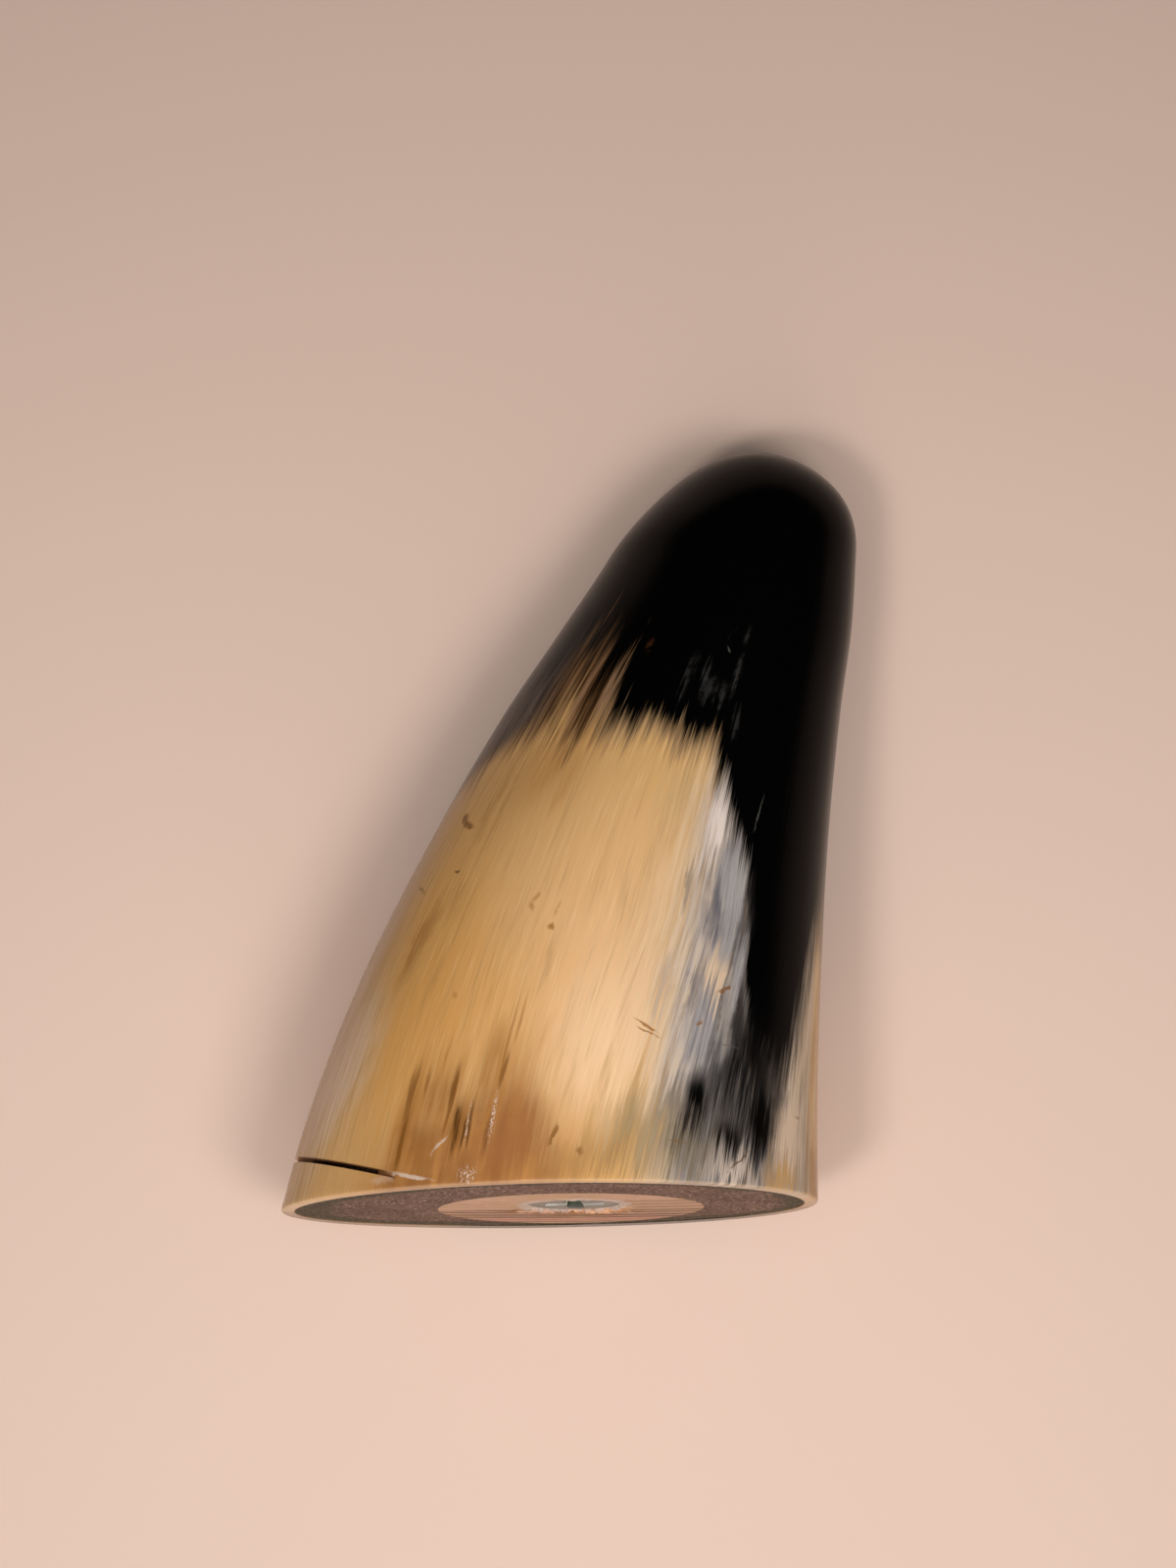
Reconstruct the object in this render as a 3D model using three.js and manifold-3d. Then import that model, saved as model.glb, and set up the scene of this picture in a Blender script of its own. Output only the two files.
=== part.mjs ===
// Buffalo horn, millimetres, +Z up. The polished tip end of the horn lies on its side on z = 0.
// The tip points along +Y and leans to +X; the sawn base faces -Y and is tilted a little upward.
// Four pieces: the horn, the filling of its hollow, a pine dowel in the filling, a screw in it.
import * as THREE from "three";
import { mergeVertices } from "three/addons/utils/BufferGeometryUtils.js";
import Module from "manifold-3d";

// ---- the horn's outside ----
// Each station: along = distance from the base corner, centre = sideways place of the section,
// half = half its width, height = its height above the surface it lies on.
const STATIONS = [
  { along: 3, centre: 0.15, half: 30.05, height: 45.2 },
  { along: 15, centre: 2, half: 28.5, height: 43.6 },
  { along: 30, centre: 5.4, half: 26.1, height: 40.4 },
  { along: 45, centre: 9.8, half: 23.1, height: 36.3 },
  { along: 60, centre: 15.05, half: 19.9, height: 31.7 },
  { along: 70, centre: 19.2, half: 17.5, height: 28.2 },
  { along: 80, centre: 22.95, half: 14.8, height: 24.4 },
  { along: 87, centre: 25.1, half: 13.3, height: 21.9 },
  { along: 93.1, centre: 25.7, half: 12.2, height: 19.8 },
];
const WIDEST = 0.45; // the widest line's height, as a part of the section's height
const UPPER_FULLNESS = 1.87; // exponent of the upper half's curve, 2 being an ellipse
const LOWER_FULLNESS = 2.1;
const LEAN = 0.1; // sideways shift of the section per millimetre of height
const WORN_FLAT = 0.3; // depth worn off the lowest line, on which the horn rests
const BASE_TILT = THREE.MathUtils.degToRad(8.5);
const DOME_START = 80;
const TIP_END = 93.1;

// ---- the hollow and what fills it ----
const WALL = 1.5; // at the sides and the top
const WALL_BELOW = 2.6; // the thicker wall on the lower side
const HOLLOW_TAPER_END = 26;
const HOLLOW_TAPER = 0.9; // width of the hollow there, as a part of the horn's inner width
const HOLLOW_END = 44;
const GAP = 0.25; // clearance between pieces that touch
const SET_BACK = 0.1; // filling, dowel and screw lie this far inside the base's rim

const DOWEL_RADIUS = 15;
const DOWEL_LENGTH = 26;
const DOWEL_CENTRE = { x: 2.7, up: 19.1 }; // measured on the tilted base face
const DOWEL_SIDES = 48;

const SCREW_CENTRE = { x: 3.1, up: 22.8 };
const SCREW_HEAD_RADIUS = 5.1;
const SCREW_HEAD_DEPTH = 2.8;
const SCREW_LENGTH = 22;
const SCREW_POINT = 5;
const THREAD_RADIUS = 2.4;
const CORE_RADIUS = 1.7;
const THREAD_PITCH = 2.4;
const SCREW_SIDES = 24;
const RECESS_SPAN = 5.8;
const RECESS_WIDTH = 1.3;
const RECESS_DEPTH = 2.2;

// ---- the stray saw cut near the base ----
const CUT_WIDTH = 0.6;
const CUT_ROOT = { x: -21.75, y: 7.85, z: 28.75 }; // middle of the straight line it reaches down to
const CUT_LENGTH = 40;
const CUT_REACH = 20;
const CUT_RISE = THREE.MathUtils.degToRad(58); // slope of that line
const CUT_TURN = THREE.MathUtils.degToRad(-15.5); // turn of its plane, against the base's plane
const CUT_TILT = THREE.MathUtils.degToRad(7);

const SIDES = 48;
const BODY_RINGS = 22;
const DOME_RINGS = 8;
const HOLLOW_RINGS = 10;
const RING_MARGIN = 2; // how far a cutting solid stands out of what it cuts

const wasm = await Module();
wasm.setup();

const stationCurve = new THREE.CubicInterpolant(
  STATIONS.map((s) => s.along),
  STATIONS.flatMap((s) => [s.centre, s.half, s.height]),
  3,
);

// Centre, half width and height of the horn's section at a distance along it.
function sectionAt(along) {
  const first = STATIONS[0].along;
  const last = STATIONS[STATIONS.length - 1].along;
  const [centre, half, height] = stationCurve.evaluate(THREE.MathUtils.clamp(along, first, last));
  return { centre, half, height, widest: WIDEST * height };
}

const baseAlong = WIDEST * STATIONS[0].height * Math.tan(BASE_TILT);

// Sections lean back with the base and stand upright where the dome of the tip begins.
function tiltAt(along) {
  const part = (along - baseAlong) / (DOME_START - baseAlong);
  return BASE_TILT * THREE.MathUtils.clamp(1 - part, 0, 1);
}

const signedPower = (value, power) => Math.sign(value) * Math.abs(value) ** power;

// The point of a section in direction (c, s), drawn in to a fraction of its size.
// inset holds how far the surface lies inside the horn's own: at the sides and above, and below.
function sectionPoint(along, c, s, fraction, inset) {
  const { centre, half, height, widest } = sectionAt(along);
  const power = 2 / (s < 0 ? LOWER_FULLNESS : UPPER_FULLNESS);
  const reachUp = (height - widest - inset.side) * inset.taper;
  const reachDown = widest - inset.below;
  const reachOut = (half - inset.side) * inset.taper;
  const rise = (s < 0 ? reachDown : reachUp) * signedPower(s, power) * fraction;
  const out = reachOut * signedPower(c, power) * fraction;
  const z = Math.max(widest + rise, 0);
  return [centre + out + LEAN * (z - widest), along + (z - widest) * Math.tan(tiltAt(along)), z];
}

// A lathe whose radius is the fraction of the section and whose height is the distance along
// the horn, bent into the horn's shape.
function bentLathe(profile, insetAt) {
  const lathe = new THREE.LatheGeometry(
    profile.map(([fraction, along]) => new THREE.Vector2(fraction, along)),
    SIDES,
  );
  const position = lathe.getAttribute("position");
  for (let i = 0; i < position.count; i += 1) {
    const along = position.getY(i);
    const fraction = Math.hypot(position.getX(i), position.getZ(i));
    const c = fraction > 0 ? position.getX(i) / fraction : 0;
    const s = fraction > 0 ? position.getZ(i) / fraction : 0;
    position.setXYZ(i, ...sectionPoint(along, c, s, fraction, insetAt(along)));
  }
  return lathe;
}

function solidOf(geometry) {
  const plain = new THREE.BufferGeometry();
  plain.setAttribute("position", geometry.getAttribute("position"));
  plain.setIndex(geometry.index);
  const merged = mergeVertices(plain, 1e-4);
  return new wasm.Manifold(
    new wasm.Mesh({
      numProp: 3,
      vertProperties: merged.getAttribute("position").array,
      triVerts: new Uint32Array(merged.index.array),
    }),
  );
}

function geometryOf(solid) {
  const { vertProperties, triVerts } = solid.getMesh();
  const geometry = new THREE.BufferGeometry();
  geometry.setAttribute("position", new THREE.BufferAttribute(vertProperties, 3));
  geometry.setIndex(new THREE.BufferAttribute(triVerts, 1));
  return geometry;
}

const range = (count) => Array.from({ length: count + 1 }, (_, i) => i / count);

// ---- outside of the horn ----
function outerSolid() {
  const body = range(BODY_RINGS).map((t) => [1, THREE.MathUtils.lerp(baseAlong, DOME_START, t)]);
  const dome = range(DOME_RINGS).slice(1).map((t) => {
    const angle = (t * Math.PI) / 2;
    const fraction = t === 1 ? 0 : Math.cos(angle);
    return [fraction, DOME_START + (TIP_END - DOME_START) * Math.sin(angle)];
  });
  const inset = { side: 0, below: -WORN_FLAT, taper: 1 };
  return solidOf(bentLathe([[0, baseAlong], ...body, ...dome], () => inset));
}

// ---- the hollow, drawn in by a clearance ----
function hollowSolid(start, clearance) {
  const end = HOLLOW_END - clearance;
  const body = range(HOLLOW_RINGS).map((t) => [1, THREE.MathUtils.lerp(start, HOLLOW_TAPER_END, t)]);
  const dome = range(HOLLOW_RINGS).slice(1).map((t) => {
    const angle = (t * Math.PI) / 2;
    const fraction = t === 1 ? 0 : Math.cos(angle);
    return [fraction, HOLLOW_TAPER_END + (end - HOLLOW_TAPER_END) * Math.sin(angle)];
  });
  const insetAt = (along) => ({
    side: WALL + clearance,
    below: WALL_BELOW + clearance,
    taper: THREE.MathUtils.lerp(1, HOLLOW_TAPER, THREE.MathUtils.clamp(along / HOLLOW_TAPER_END, 0, 1)),
  });
  return solidOf(bentLathe([[0, start], ...body, ...dome], insetAt));
}

// ---- the base face: x stays, y runs into the horn, z runs up along the face ----
function placeOnFace(geometry, x, up, depth) {
  return geometry
    .translate(x, depth, up)
    .rotateX(-BASE_TILT);
}

function dowelSolid(radius, length, front) {
  const geometry = new THREE.CylinderGeometry(radius, radius, length + front, DOWEL_SIDES);
  const z = DOWEL_CENTRE.up * Math.cos(BASE_TILT);
  const y = DOWEL_CENTRE.up * Math.sin(BASE_TILT);
  return solidOf(geometry.translate(DOWEL_CENTRE.x, y + (length - front) / 2, z));
}

// Everything behind the base face, from a depth inward.
function behindFace(depth) {
  const size = 4 * STATIONS[0].half;
  return solidOf(placeOnFace(new THREE.BoxGeometry(size, size, size), 0, 0, depth + size / 2));
}

// Lathe profile of the screw, from the point to the head; the head's face is at height zero.
function screwProfile(clearance) {
  const profile = [[0, -SCREW_LENGTH - clearance]];
  const headFoot = -SCREW_HEAD_DEPTH - clearance;
  if (clearance > 0) {
    profile.push([THREAD_RADIUS + clearance, SCREW_POINT - SCREW_LENGTH]);
    profile.push([THREAD_RADIUS + clearance, headFoot]);
    profile.push([SCREW_HEAD_RADIUS + clearance, 0]);
    profile.push([SCREW_HEAD_RADIUS + clearance, RING_MARGIN]);
    profile.push([0, RING_MARGIN]);
    return profile;
  }
  const turns = Math.floor((SCREW_LENGTH - SCREW_POINT - SCREW_HEAD_DEPTH) / THREAD_PITCH);
  for (let turn = 0; turn < turns; turn += 1) {
    const foot = SCREW_POINT - SCREW_LENGTH + turn * THREAD_PITCH;
    profile.push([CORE_RADIUS, foot]);
    profile.push([THREAD_RADIUS, foot + THREAD_PITCH / 2]);
  }
  profile.push([CORE_RADIUS, SCREW_POINT - SCREW_LENGTH + turns * THREAD_PITCH]);
  profile.push([CORE_RADIUS, headFoot]);
  profile.push([SCREW_HEAD_RADIUS, 0]);
  profile.push([0, 0]);
  return profile;
}

// The screw's axis is square to the base face, its head facing out.
function screwSolid(clearance) {
  const geometry = new THREE.LatheGeometry(
    screwProfile(clearance).map(([radius, height]) => new THREE.Vector2(radius, height)),
    SCREW_SIDES,
  );
  geometry.rotateX(Math.PI);
  return solidOf(placeOnFace(geometry, SCREW_CENTRE.x, SCREW_CENTRE.up, 2 * SET_BACK));
}

function crossRecess() {
  const arm = (wide, high) =>
    solidOf(
      placeOnFace(
        new THREE.BoxGeometry(wide, 2 * RECESS_DEPTH, high),
        SCREW_CENTRE.x,
        SCREW_CENTRE.up,
        2 * SET_BACK,
      ),
    );
  return arm(RECESS_SPAN, RECESS_WIDTH).add(arm(RECESS_WIDTH, RECESS_SPAN));
}

function sawCut() {
  const blade = new THREE.BoxGeometry(CUT_LENGTH, CUT_WIDTH, CUT_REACH);
  blade.translate(0, 0, CUT_REACH / 2);
  blade.rotateY(-CUT_RISE).rotateZ(CUT_TURN).rotateX(-CUT_TILT);
  return solidOf(blade.translate(CUT_ROOT.x, CUT_ROOT.y, CUT_ROOT.z));
}

// ---- the pieces ----
const horn = outerSolid()
  .subtract(hollowSolid(baseAlong - RING_MARGIN, 0))
  .subtract(sawCut());
const filler = hollowSolid(baseAlong + SET_BACK, GAP)
  .subtract(dowelSolid(DOWEL_RADIUS + GAP, DOWEL_LENGTH + GAP, 4 * RING_MARGIN))
  .subtract(sawCut());
const woodCore = dowelSolid(DOWEL_RADIUS, DOWEL_LENGTH, 4 * RING_MARGIN)
  .intersect(behindFace(SET_BACK))
  .subtract(screwSolid(GAP));
const screw = screwSolid(0).subtract(crossRecess());

const materials = {
  horn: new THREE.MeshStandardMaterial({ color: 0xb98f52, roughness: 0.35, metalness: 0 }),
  filler: new THREE.MeshStandardMaterial({ color: 0x6b4a3c, roughness: 0.85, metalness: 0 }),
  wood_core: new THREE.MeshStandardMaterial({ color: 0xcf9c7a, roughness: 0.75, metalness: 0 }),
  screw: new THREE.MeshStandardMaterial({ color: 0xb8b8ae, roughness: 0.3, metalness: 1 }),
};

const root = new THREE.Group();
root.name = "buffalo_horn";
for (const [name, solid] of Object.entries({ horn, filler, wood_core: woodCore, screw })) {
  const mesh = new THREE.Mesh(geometryOf(solid), materials[name]);
  mesh.name = name;
  root.add(mesh);
}

// The frame's origin is the bottom centre of the whole object's box.
const box = new THREE.Box3().setFromObject(root);
const middle = box.getCenter(new THREE.Vector3());
for (const mesh of root.children) mesh.geometry.translate(-middle.x, -middle.y, -box.min.z);

export default root;
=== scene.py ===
# %% [markdown]
# # A polished buffalo horn, filled at its sawn end
# The object is the tip end of a water-buffalo horn, sawn off and polished. Its hollow is filled
# with brown wood flour in glue around a pine dowel, and a countersunk screw sits in the dowel.
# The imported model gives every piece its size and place. Here each piece is modelled again in
# finer detail and given its finish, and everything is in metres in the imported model's frame.

# %% Load the frame
import math
from contextlib import contextmanager

import bmesh
import bpy
from mathutils import Matrix, Vector, noise
from mathutils.kdtree import KDTree


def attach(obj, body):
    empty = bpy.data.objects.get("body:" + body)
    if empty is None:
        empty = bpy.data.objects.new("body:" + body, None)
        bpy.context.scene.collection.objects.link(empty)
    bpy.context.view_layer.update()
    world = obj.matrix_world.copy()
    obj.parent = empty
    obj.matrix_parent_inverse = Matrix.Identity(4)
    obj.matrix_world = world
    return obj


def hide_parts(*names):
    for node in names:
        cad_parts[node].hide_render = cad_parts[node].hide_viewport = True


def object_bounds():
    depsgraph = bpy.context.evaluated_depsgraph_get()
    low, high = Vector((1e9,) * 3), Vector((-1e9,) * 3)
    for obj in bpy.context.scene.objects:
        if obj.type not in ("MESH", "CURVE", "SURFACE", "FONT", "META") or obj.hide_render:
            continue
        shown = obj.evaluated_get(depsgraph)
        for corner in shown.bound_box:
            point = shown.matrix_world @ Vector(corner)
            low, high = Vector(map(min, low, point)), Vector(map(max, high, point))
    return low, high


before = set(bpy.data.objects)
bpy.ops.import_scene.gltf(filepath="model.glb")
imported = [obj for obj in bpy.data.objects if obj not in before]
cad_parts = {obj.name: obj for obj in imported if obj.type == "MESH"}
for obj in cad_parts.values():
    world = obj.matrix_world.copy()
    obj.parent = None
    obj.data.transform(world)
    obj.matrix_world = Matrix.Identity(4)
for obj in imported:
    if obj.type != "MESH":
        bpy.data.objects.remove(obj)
cad_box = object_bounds()
MM = 0.001
TURN = 2 * math.pi
print("nodes:", sorted(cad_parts), "box:", [tuple(round(c, 4) for c in v) for v in cad_box])

# %% [markdown]
# ## The horn's shape in numbers
# Seen from above, a horn is a bent cone. It could be sculpted by eye, but the pieces inside it
# have to fit, so its shape is a short list of cross-sections, the stations. Each has a distance
# along the horn, a sideways centre, half a width and a height, in millimetres. Between two of
# them the values follow a smooth curve.

# %% Cross-sections
STATIONS = [
    (3, 0.15, 30.05, 45.2),
    (15, 2, 28.5, 43.6),
    (30, 5.4, 26.1, 40.4),
    (45, 9.8, 23.1, 36.3),
    (60, 15.05, 19.9, 31.7),
    (70, 19.2, 17.5, 28.2),
    (80, 22.95, 14.8, 24.4),
    (87, 25.1, 13.3, 21.9),
    (93.1, 25.7, 12.2, 19.8),
]
WIDEST = 0.45
UPPER_FULLNESS, LOWER_FULLNESS = 1.87, 2.1
LEAN = 0.1
WORN_FLAT = 0.3
BASE_TILT = math.radians(8.5)
DOME_START, TIP_END = 80.0, 93.1
WALL, WALL_BELOW = 1.5, 2.6
FRAME_SHIFT = Vector((-3.924, -46.55, 0))
BASE_ALONG = WIDEST * STATIONS[0][3] * math.tan(BASE_TILT)


def slope(i, k):
    """Slope of value k of the stations at station i."""
    last = len(STATIONS) - 1
    if 0 < i < last:
        before, after = STATIONS[i - 1], STATIONS[i + 1]
        return (after[k] - before[k]) / (after[0] - before[0])
    a, b = (STATIONS[0], STATIONS[1]) if i == 0 else (STATIONS[last - 1], STATIONS[last])
    inner = slope(1, k) if i == 0 else slope(last - 1, k)
    return 1.5 * (b[k] - a[k]) / (b[0] - a[0]) - 0.5 * inner


def section(along):
    """Centre, half width, height and the widest line's height, in millimetres."""
    along = min(max(along, STATIONS[0][0]), STATIONS[-1][0])
    i = max(n for n in range(len(STATIONS) - 1) if STATIONS[n][0] <= along)
    a, b = STATIONS[i], STATIONS[i + 1]
    span = b[0] - a[0]
    t = (along - a[0]) / span
    values = []
    for k in (1, 2, 3):
        start, end = slope(i, k) * span, slope(i + 1, k) * span
        rest = (2 * t**3 - 3 * t**2 + 1) * a[k] + (3 * t**2 - 2 * t**3) * b[k]
        values.append(rest + (t**3 - 2 * t**2 + t) * start + (t**3 - t**2) * end)
    return (*values, WIDEST * values[2])


def tilt(along):
    """Sections lean back with the base and stand upright where the tip's dome begins."""
    part = (along - BASE_ALONG) / (DOME_START - BASE_ALONG)
    return BASE_TILT * min(max(1 - part, 0), 1)


def row_point(x, y, z):
    """A point in millimetres from the base's lowest corner, in the row frame, in metres."""
    return (Vector((x, y, z)) + FRAME_SHIFT) * MM


for along in (5, 40, 75):
    print(along, "mm along:", [round(v, 2) for v in section(along)])

# %% [markdown]
# ## A few bench tools
# Blender's operators act on whatever is selected, so each step begins by selecting nothing.
# These helpers pick parts of a mesh by their place, put a loop of vertices where it belongs,
# bridge and extrude loops, and at the end smooth a piece and count its faces. Those that work
# in edit mode act on the piece in hand.


# %% Bench tools
def nothing_selected():
    if bpy.context.object and bpy.context.object.mode != "OBJECT":
        bpy.ops.object.mode_set(mode="OBJECT")
    bpy.ops.object.select_all(action="DESELECT")


def only_selected(piece):
    nothing_selected()
    piece.select_set(True)
    bpy.context.view_layer.objects.active = piece


@contextmanager
def edited_mesh():
    """The mesh in edit mode, to be changed by hand and handed back."""
    mesh = bpy.context.object.data
    yield bmesh.from_edit_mesh(mesh)
    bmesh.update_edit_mesh(mesh)


def work_on(kind):
    """In edit mode, works on vertices, edges or faces, with none of them selected."""
    bpy.ops.mesh.select_mode(type=kind)
    bpy.ops.mesh.select_all(action="DESELECT")


def select_where(test, of="verts"):
    """Selects only the vertices or faces whose middle passes the test."""
    work_on("VERT" if of == "verts" else "FACE")
    with edited_mesh() as bm:
        for part in getattr(bm, of):
            if test(part.co if of == "verts" else part.calc_center_median()):
                part.select_set(True)
        bm.select_flush_mode()


def select_open_loop(test=lambda middle: True):
    """Selects only the open edges whose middle passes the test."""
    work_on("EDGE")
    with edited_mesh() as bm:
        for e in bm.edges:
            if len(e.link_faces) < 2 and test((e.verts[0].co + e.verts[1].co) / 2):
                e.select_set(True)


def bridge_open_loops(cuts=0):
    """Joins a piece's two open loops by faces, with some rings of vertices between them."""
    select_open_loop()
    bpy.ops.mesh.bridge_edge_loops(number_cuts=cuts, interpolation="LINEAR")


def put_selected(place):
    """Moves each selected vertex of a unit circle to the place that belongs to its angle."""
    with edited_mesh() as bm:
        for v in bm.verts:
            if v.select:
                v.co = place(math.atan2(v.co.z, v.co.x))


def add_circle(sides):
    """A unit circle standing in the XZ plane and facing -Y."""
    bpy.ops.mesh.primitive_circle_add(vertices=sides, radius=1, rotation=(math.pi / 2, 0, 0))


def circle_piece(name, sides):
    """A new piece that is a unit circle, left in edit mode with all of it selected."""
    nothing_selected()
    add_circle(sides)
    piece = bpy.context.object
    piece.name = piece.data.name = name
    bpy.ops.object.transform_apply(location=True, rotation=True, scale=True)
    bpy.ops.object.mode_set(mode="EDIT")
    bpy.ops.mesh.select_mode(type="VERT")
    bpy.ops.mesh.select_all(action="SELECT")
    return piece


def extrude_ring(move=(0, 0, 0), scale=(1, 1, 1), about=(0, 0, 0)):
    """Extrudes the selected ring, scales the new one about a point and then moves it."""
    bpy.ops.mesh.extrude_region_move(TRANSFORM_OT_translate={"value": (0, 0, 0)})
    bpy.ops.transform.resize(value=scale, center_override=about)
    bpy.ops.transform.translate(value=move)


def close_and_tidy():
    """Merges doubles, turns every face outward and goes back to object mode."""
    bpy.ops.mesh.select_all(action="SELECT")
    bpy.ops.mesh.remove_doubles(threshold=1e-7)
    bpy.ops.mesh.normals_make_consistent(inside=False)
    bpy.ops.object.mode_set(mode="OBJECT")


def apply_modifier(piece, kind, **settings):
    """Adds a modifier, sets it and applies it at once."""
    only_selected(piece)
    modifier = piece.modifiers.new(kind.title(), kind)
    for key, value in settings.items():
        setattr(modifier, key, value)
    bpy.ops.object.modifier_apply(modifier=modifier.name)


def smooth(piece, degrees):
    """Smooths the shading across edges flatter than this angle."""
    only_selected(piece)
    bpy.ops.object.shade_smooth_by_angle(angle=math.radians(degrees))


def report(piece):
    """Prints how many faces a piece has, and that it is closed when it has no open edges."""
    bm = bmesh.new()
    bm.from_mesh(piece.data)
    loose = sum(1 for e in bm.edges if len(e.link_faces) != 2)
    bm.free()
    print(piece.name, len(piece.data.polygons), "faces,", loose, "open edges")


# %% [markdown]
# ## The outside of the horn
# The real horn grew as a cone of keratin and was sanded to an even skin. A lathe shape would be
# too regular, so a ring with the section's own outline is extruded section by section toward
# the tip: each new ring is scaled to its width and height and moved to its place. The last
# rings close in a dome. The lowest line is then pressed flat, where the horn is worn.

# %% Extrude the horn ring by ring
RINGS_AROUND = 192
BODY_STEPS, DOME_STEPS = 84, 22


def outline_point(angle):
    """The point of the sawn end's outline that belongs to an angle of the unit circle."""
    centre, half, height, widest = section(BASE_ALONG)
    c, s = math.cos(angle), math.sin(angle)
    power = 2 / (LOWER_FULLNESS if s < 0 else UPPER_FULLNESS)
    reach = widest + WORN_FLAT if s < 0 else height - widest
    rise = reach * math.copysign(abs(s) ** power, s)
    out = half * math.copysign(abs(c) ** power, c)
    back = BASE_ALONG + rise * math.tan(tilt(BASE_ALONG))
    return row_point(centre + out + LEAN * rise, back, widest + rise)


def extrude_to(at, to, shrink=1):
    """Extrudes the selected ring from one distance along the horn to the next."""
    c0, half0, height0, widest0 = section(at)
    c1, half1, height1, widest1 = section(to)
    wide = half1 / half0 * shrink
    high = height1 / height0 * shrink
    lean = math.tan(tilt(to)) / math.tan(tilt(at)) if tilt(at) > 0 else 1
    move = Vector((c1 - c0, to - at, widest1 - widest0)) * MM
    extrude_ring(move, (wide, lean * high, high), row_point(c0, at, widest0))


horn = circle_piece("horn_sheath", RINGS_AROUND)
put_selected(outline_point)
stops = [BASE_ALONG + (DOME_START - BASE_ALONG) * n / BODY_STEPS for n in range(BODY_STEPS + 1)]
for at, to in zip(stops, stops[1:]):
    extrude_to(at, to)
dome = TIP_END - DOME_START
angles = [n / DOME_STEPS * math.pi / 2 for n in range(DOME_STEPS)]
for a, b in zip(angles, angles[1:]):
    extrude_to(DOME_START + dome * math.sin(a), DOME_START + dome * math.sin(b), math.cos(b) / math.cos(a))
bpy.ops.mesh.extrude_region_move(TRANSFORM_OT_translate={"value": (0, 0, 0)})
bpy.ops.mesh.merge(type="CENTER")
tip_centre, _, _, tip_widest = section(TIP_END)
put_selected(lambda angle: row_point(tip_centre, TIP_END, tip_widest))
select_where(lambda p: p.z < 0)
bpy.ops.transform.resize(value=(1, 1, 0), center_override=(0, 0, 0))
bpy.ops.object.mode_set(mode="OBJECT")
print("horn rings:", BODY_STEPS + DOME_STEPS, "vertices:", len(horn.data.vertices))

# %% [markdown]
# ## The sawn rim and the hollow
# The saw left a flat oval with a thin wall. The open ring is filled with one face. Its outer
# edge gets the small round of a sanding belt, and the face is inset by the wall's thickness.
# The wall is thicker below, so the lower half of the inset is drawn up a little. The inner face
# is then pushed into the horn in steps, narrowing to a rounded end as the bony core did. At
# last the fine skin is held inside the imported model's box, which moves it by a hair at most.

# %% Rim and hollow
FACE_IN = Vector((0, math.cos(BASE_TILT), -math.sin(BASE_TILT)))
FACE_UP = Vector((0, math.sin(BASE_TILT), math.cos(BASE_TILT)))
FACE_ZERO = row_point(0, 0, 0)
HOLLOW_TAPER_END, HOLLOW_TAPER, HOLLOW_END = 26.0, 0.9, 44.0
HOLLOW_STEPS = 8
RIM_ROUND = 0.3


def face_depth(p):
    """How far a point lies behind the sawn face, in millimetres."""
    return (Vector(p) - FACE_ZERO).dot(FACE_IN) / MM


def face_point(x, up, depth=0.0):
    """A point on the sawn face, given sideways and up along it and behind it, in millimetres."""
    return row_point(x, 0, 0) + (FACE_UP * up + FACE_IN * depth) * MM


def hollow_reach(along):
    """Fraction of the hollow's full width that is left at a distance along the horn."""
    if along <= HOLLOW_TAPER_END:
        return 1 - (1 - HOLLOW_TAPER) * along / HOLLOW_TAPER_END
    t = (along - HOLLOW_TAPER_END) / (HOLLOW_END - HOLLOW_TAPER_END)
    return HOLLOW_TAPER * math.sqrt(max(1 - t * t, 0))


def extrude_hollow(start, short=0.0):
    """Extrudes the selected ring or face from the base to just short of the hollow's end."""
    end = HOLLOW_END - short
    straight = [start + (HOLLOW_TAPER_END - start) * n / HOLLOW_STEPS for n in range(HOLLOW_STEPS + 1)]
    bend = [
        HOLLOW_TAPER_END + (end - HOLLOW_TAPER_END) * math.sin(n / HOLLOW_STEPS * math.pi / 2)
        for n in range(1, HOLLOW_STEPS)
    ]
    steps = straight + bend
    for at, to in zip(steps, steps[1:]):
        extrude_to(at, to, hollow_reach(to) / hollow_reach(at))


bpy.ops.object.mode_set(mode="EDIT")
work_on("EDGE")
bpy.ops.mesh.select_non_manifold()
bpy.ops.mesh.edge_face_add()
bpy.ops.mesh.select_all(action="SELECT")
bpy.ops.mesh.normals_make_consistent(inside=False)


def base_face(bm):
    return max(bm.faces, key=lambda f: len(f.verts))


def select_base_face():
    work_on("FACE")
    with edited_mesh() as bm:
        base_face(bm).select_set(True)


select_base_face()
bpy.ops.mesh.region_to_loop()
bpy.ops.mesh.bevel(offset=RIM_ROUND * MM, segments=3, affect="EDGES")
select_base_face()
bpy.ops.mesh.inset(thickness=(WALL - RIM_ROUND) * MM, use_even_offset=True)
widest = section(BASE_ALONG)[3]
lift = (widest - WALL_BELOW) / (widest - WALL + WORN_FLAT)
pivot = row_point(0, BASE_ALONG, widest)
with edited_mesh() as bm:
    for v in base_face(bm).verts:
        if v.co.z < pivot.z:
            v.co.z = pivot.z + (v.co.z - pivot.z) * lift
            v.co.y = pivot.y + (v.co.y - pivot.y) * lift
    inner_rim = [v.co.copy() for v in base_face(bm).verts]
extrude_hollow(BASE_ALONG)
close_and_tidy()
for v in horn.data.vertices:
    v.co = [min(max(c, low), high) for c, low, high in zip(v.co, *cad_box)]
report(horn)

# %% [markdown]
# ## The stray saw cut
# Someone began to saw beside the final cut and stopped: a straight, narrow slot runs from the
# side of the horn almost to the base and goes through the wall into the filling. A thin box
# stands in for the blade and is taken away from both pieces with a Boolean, which leaves a slot
# with true walls. The blade is kept until the filling is made.

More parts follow.
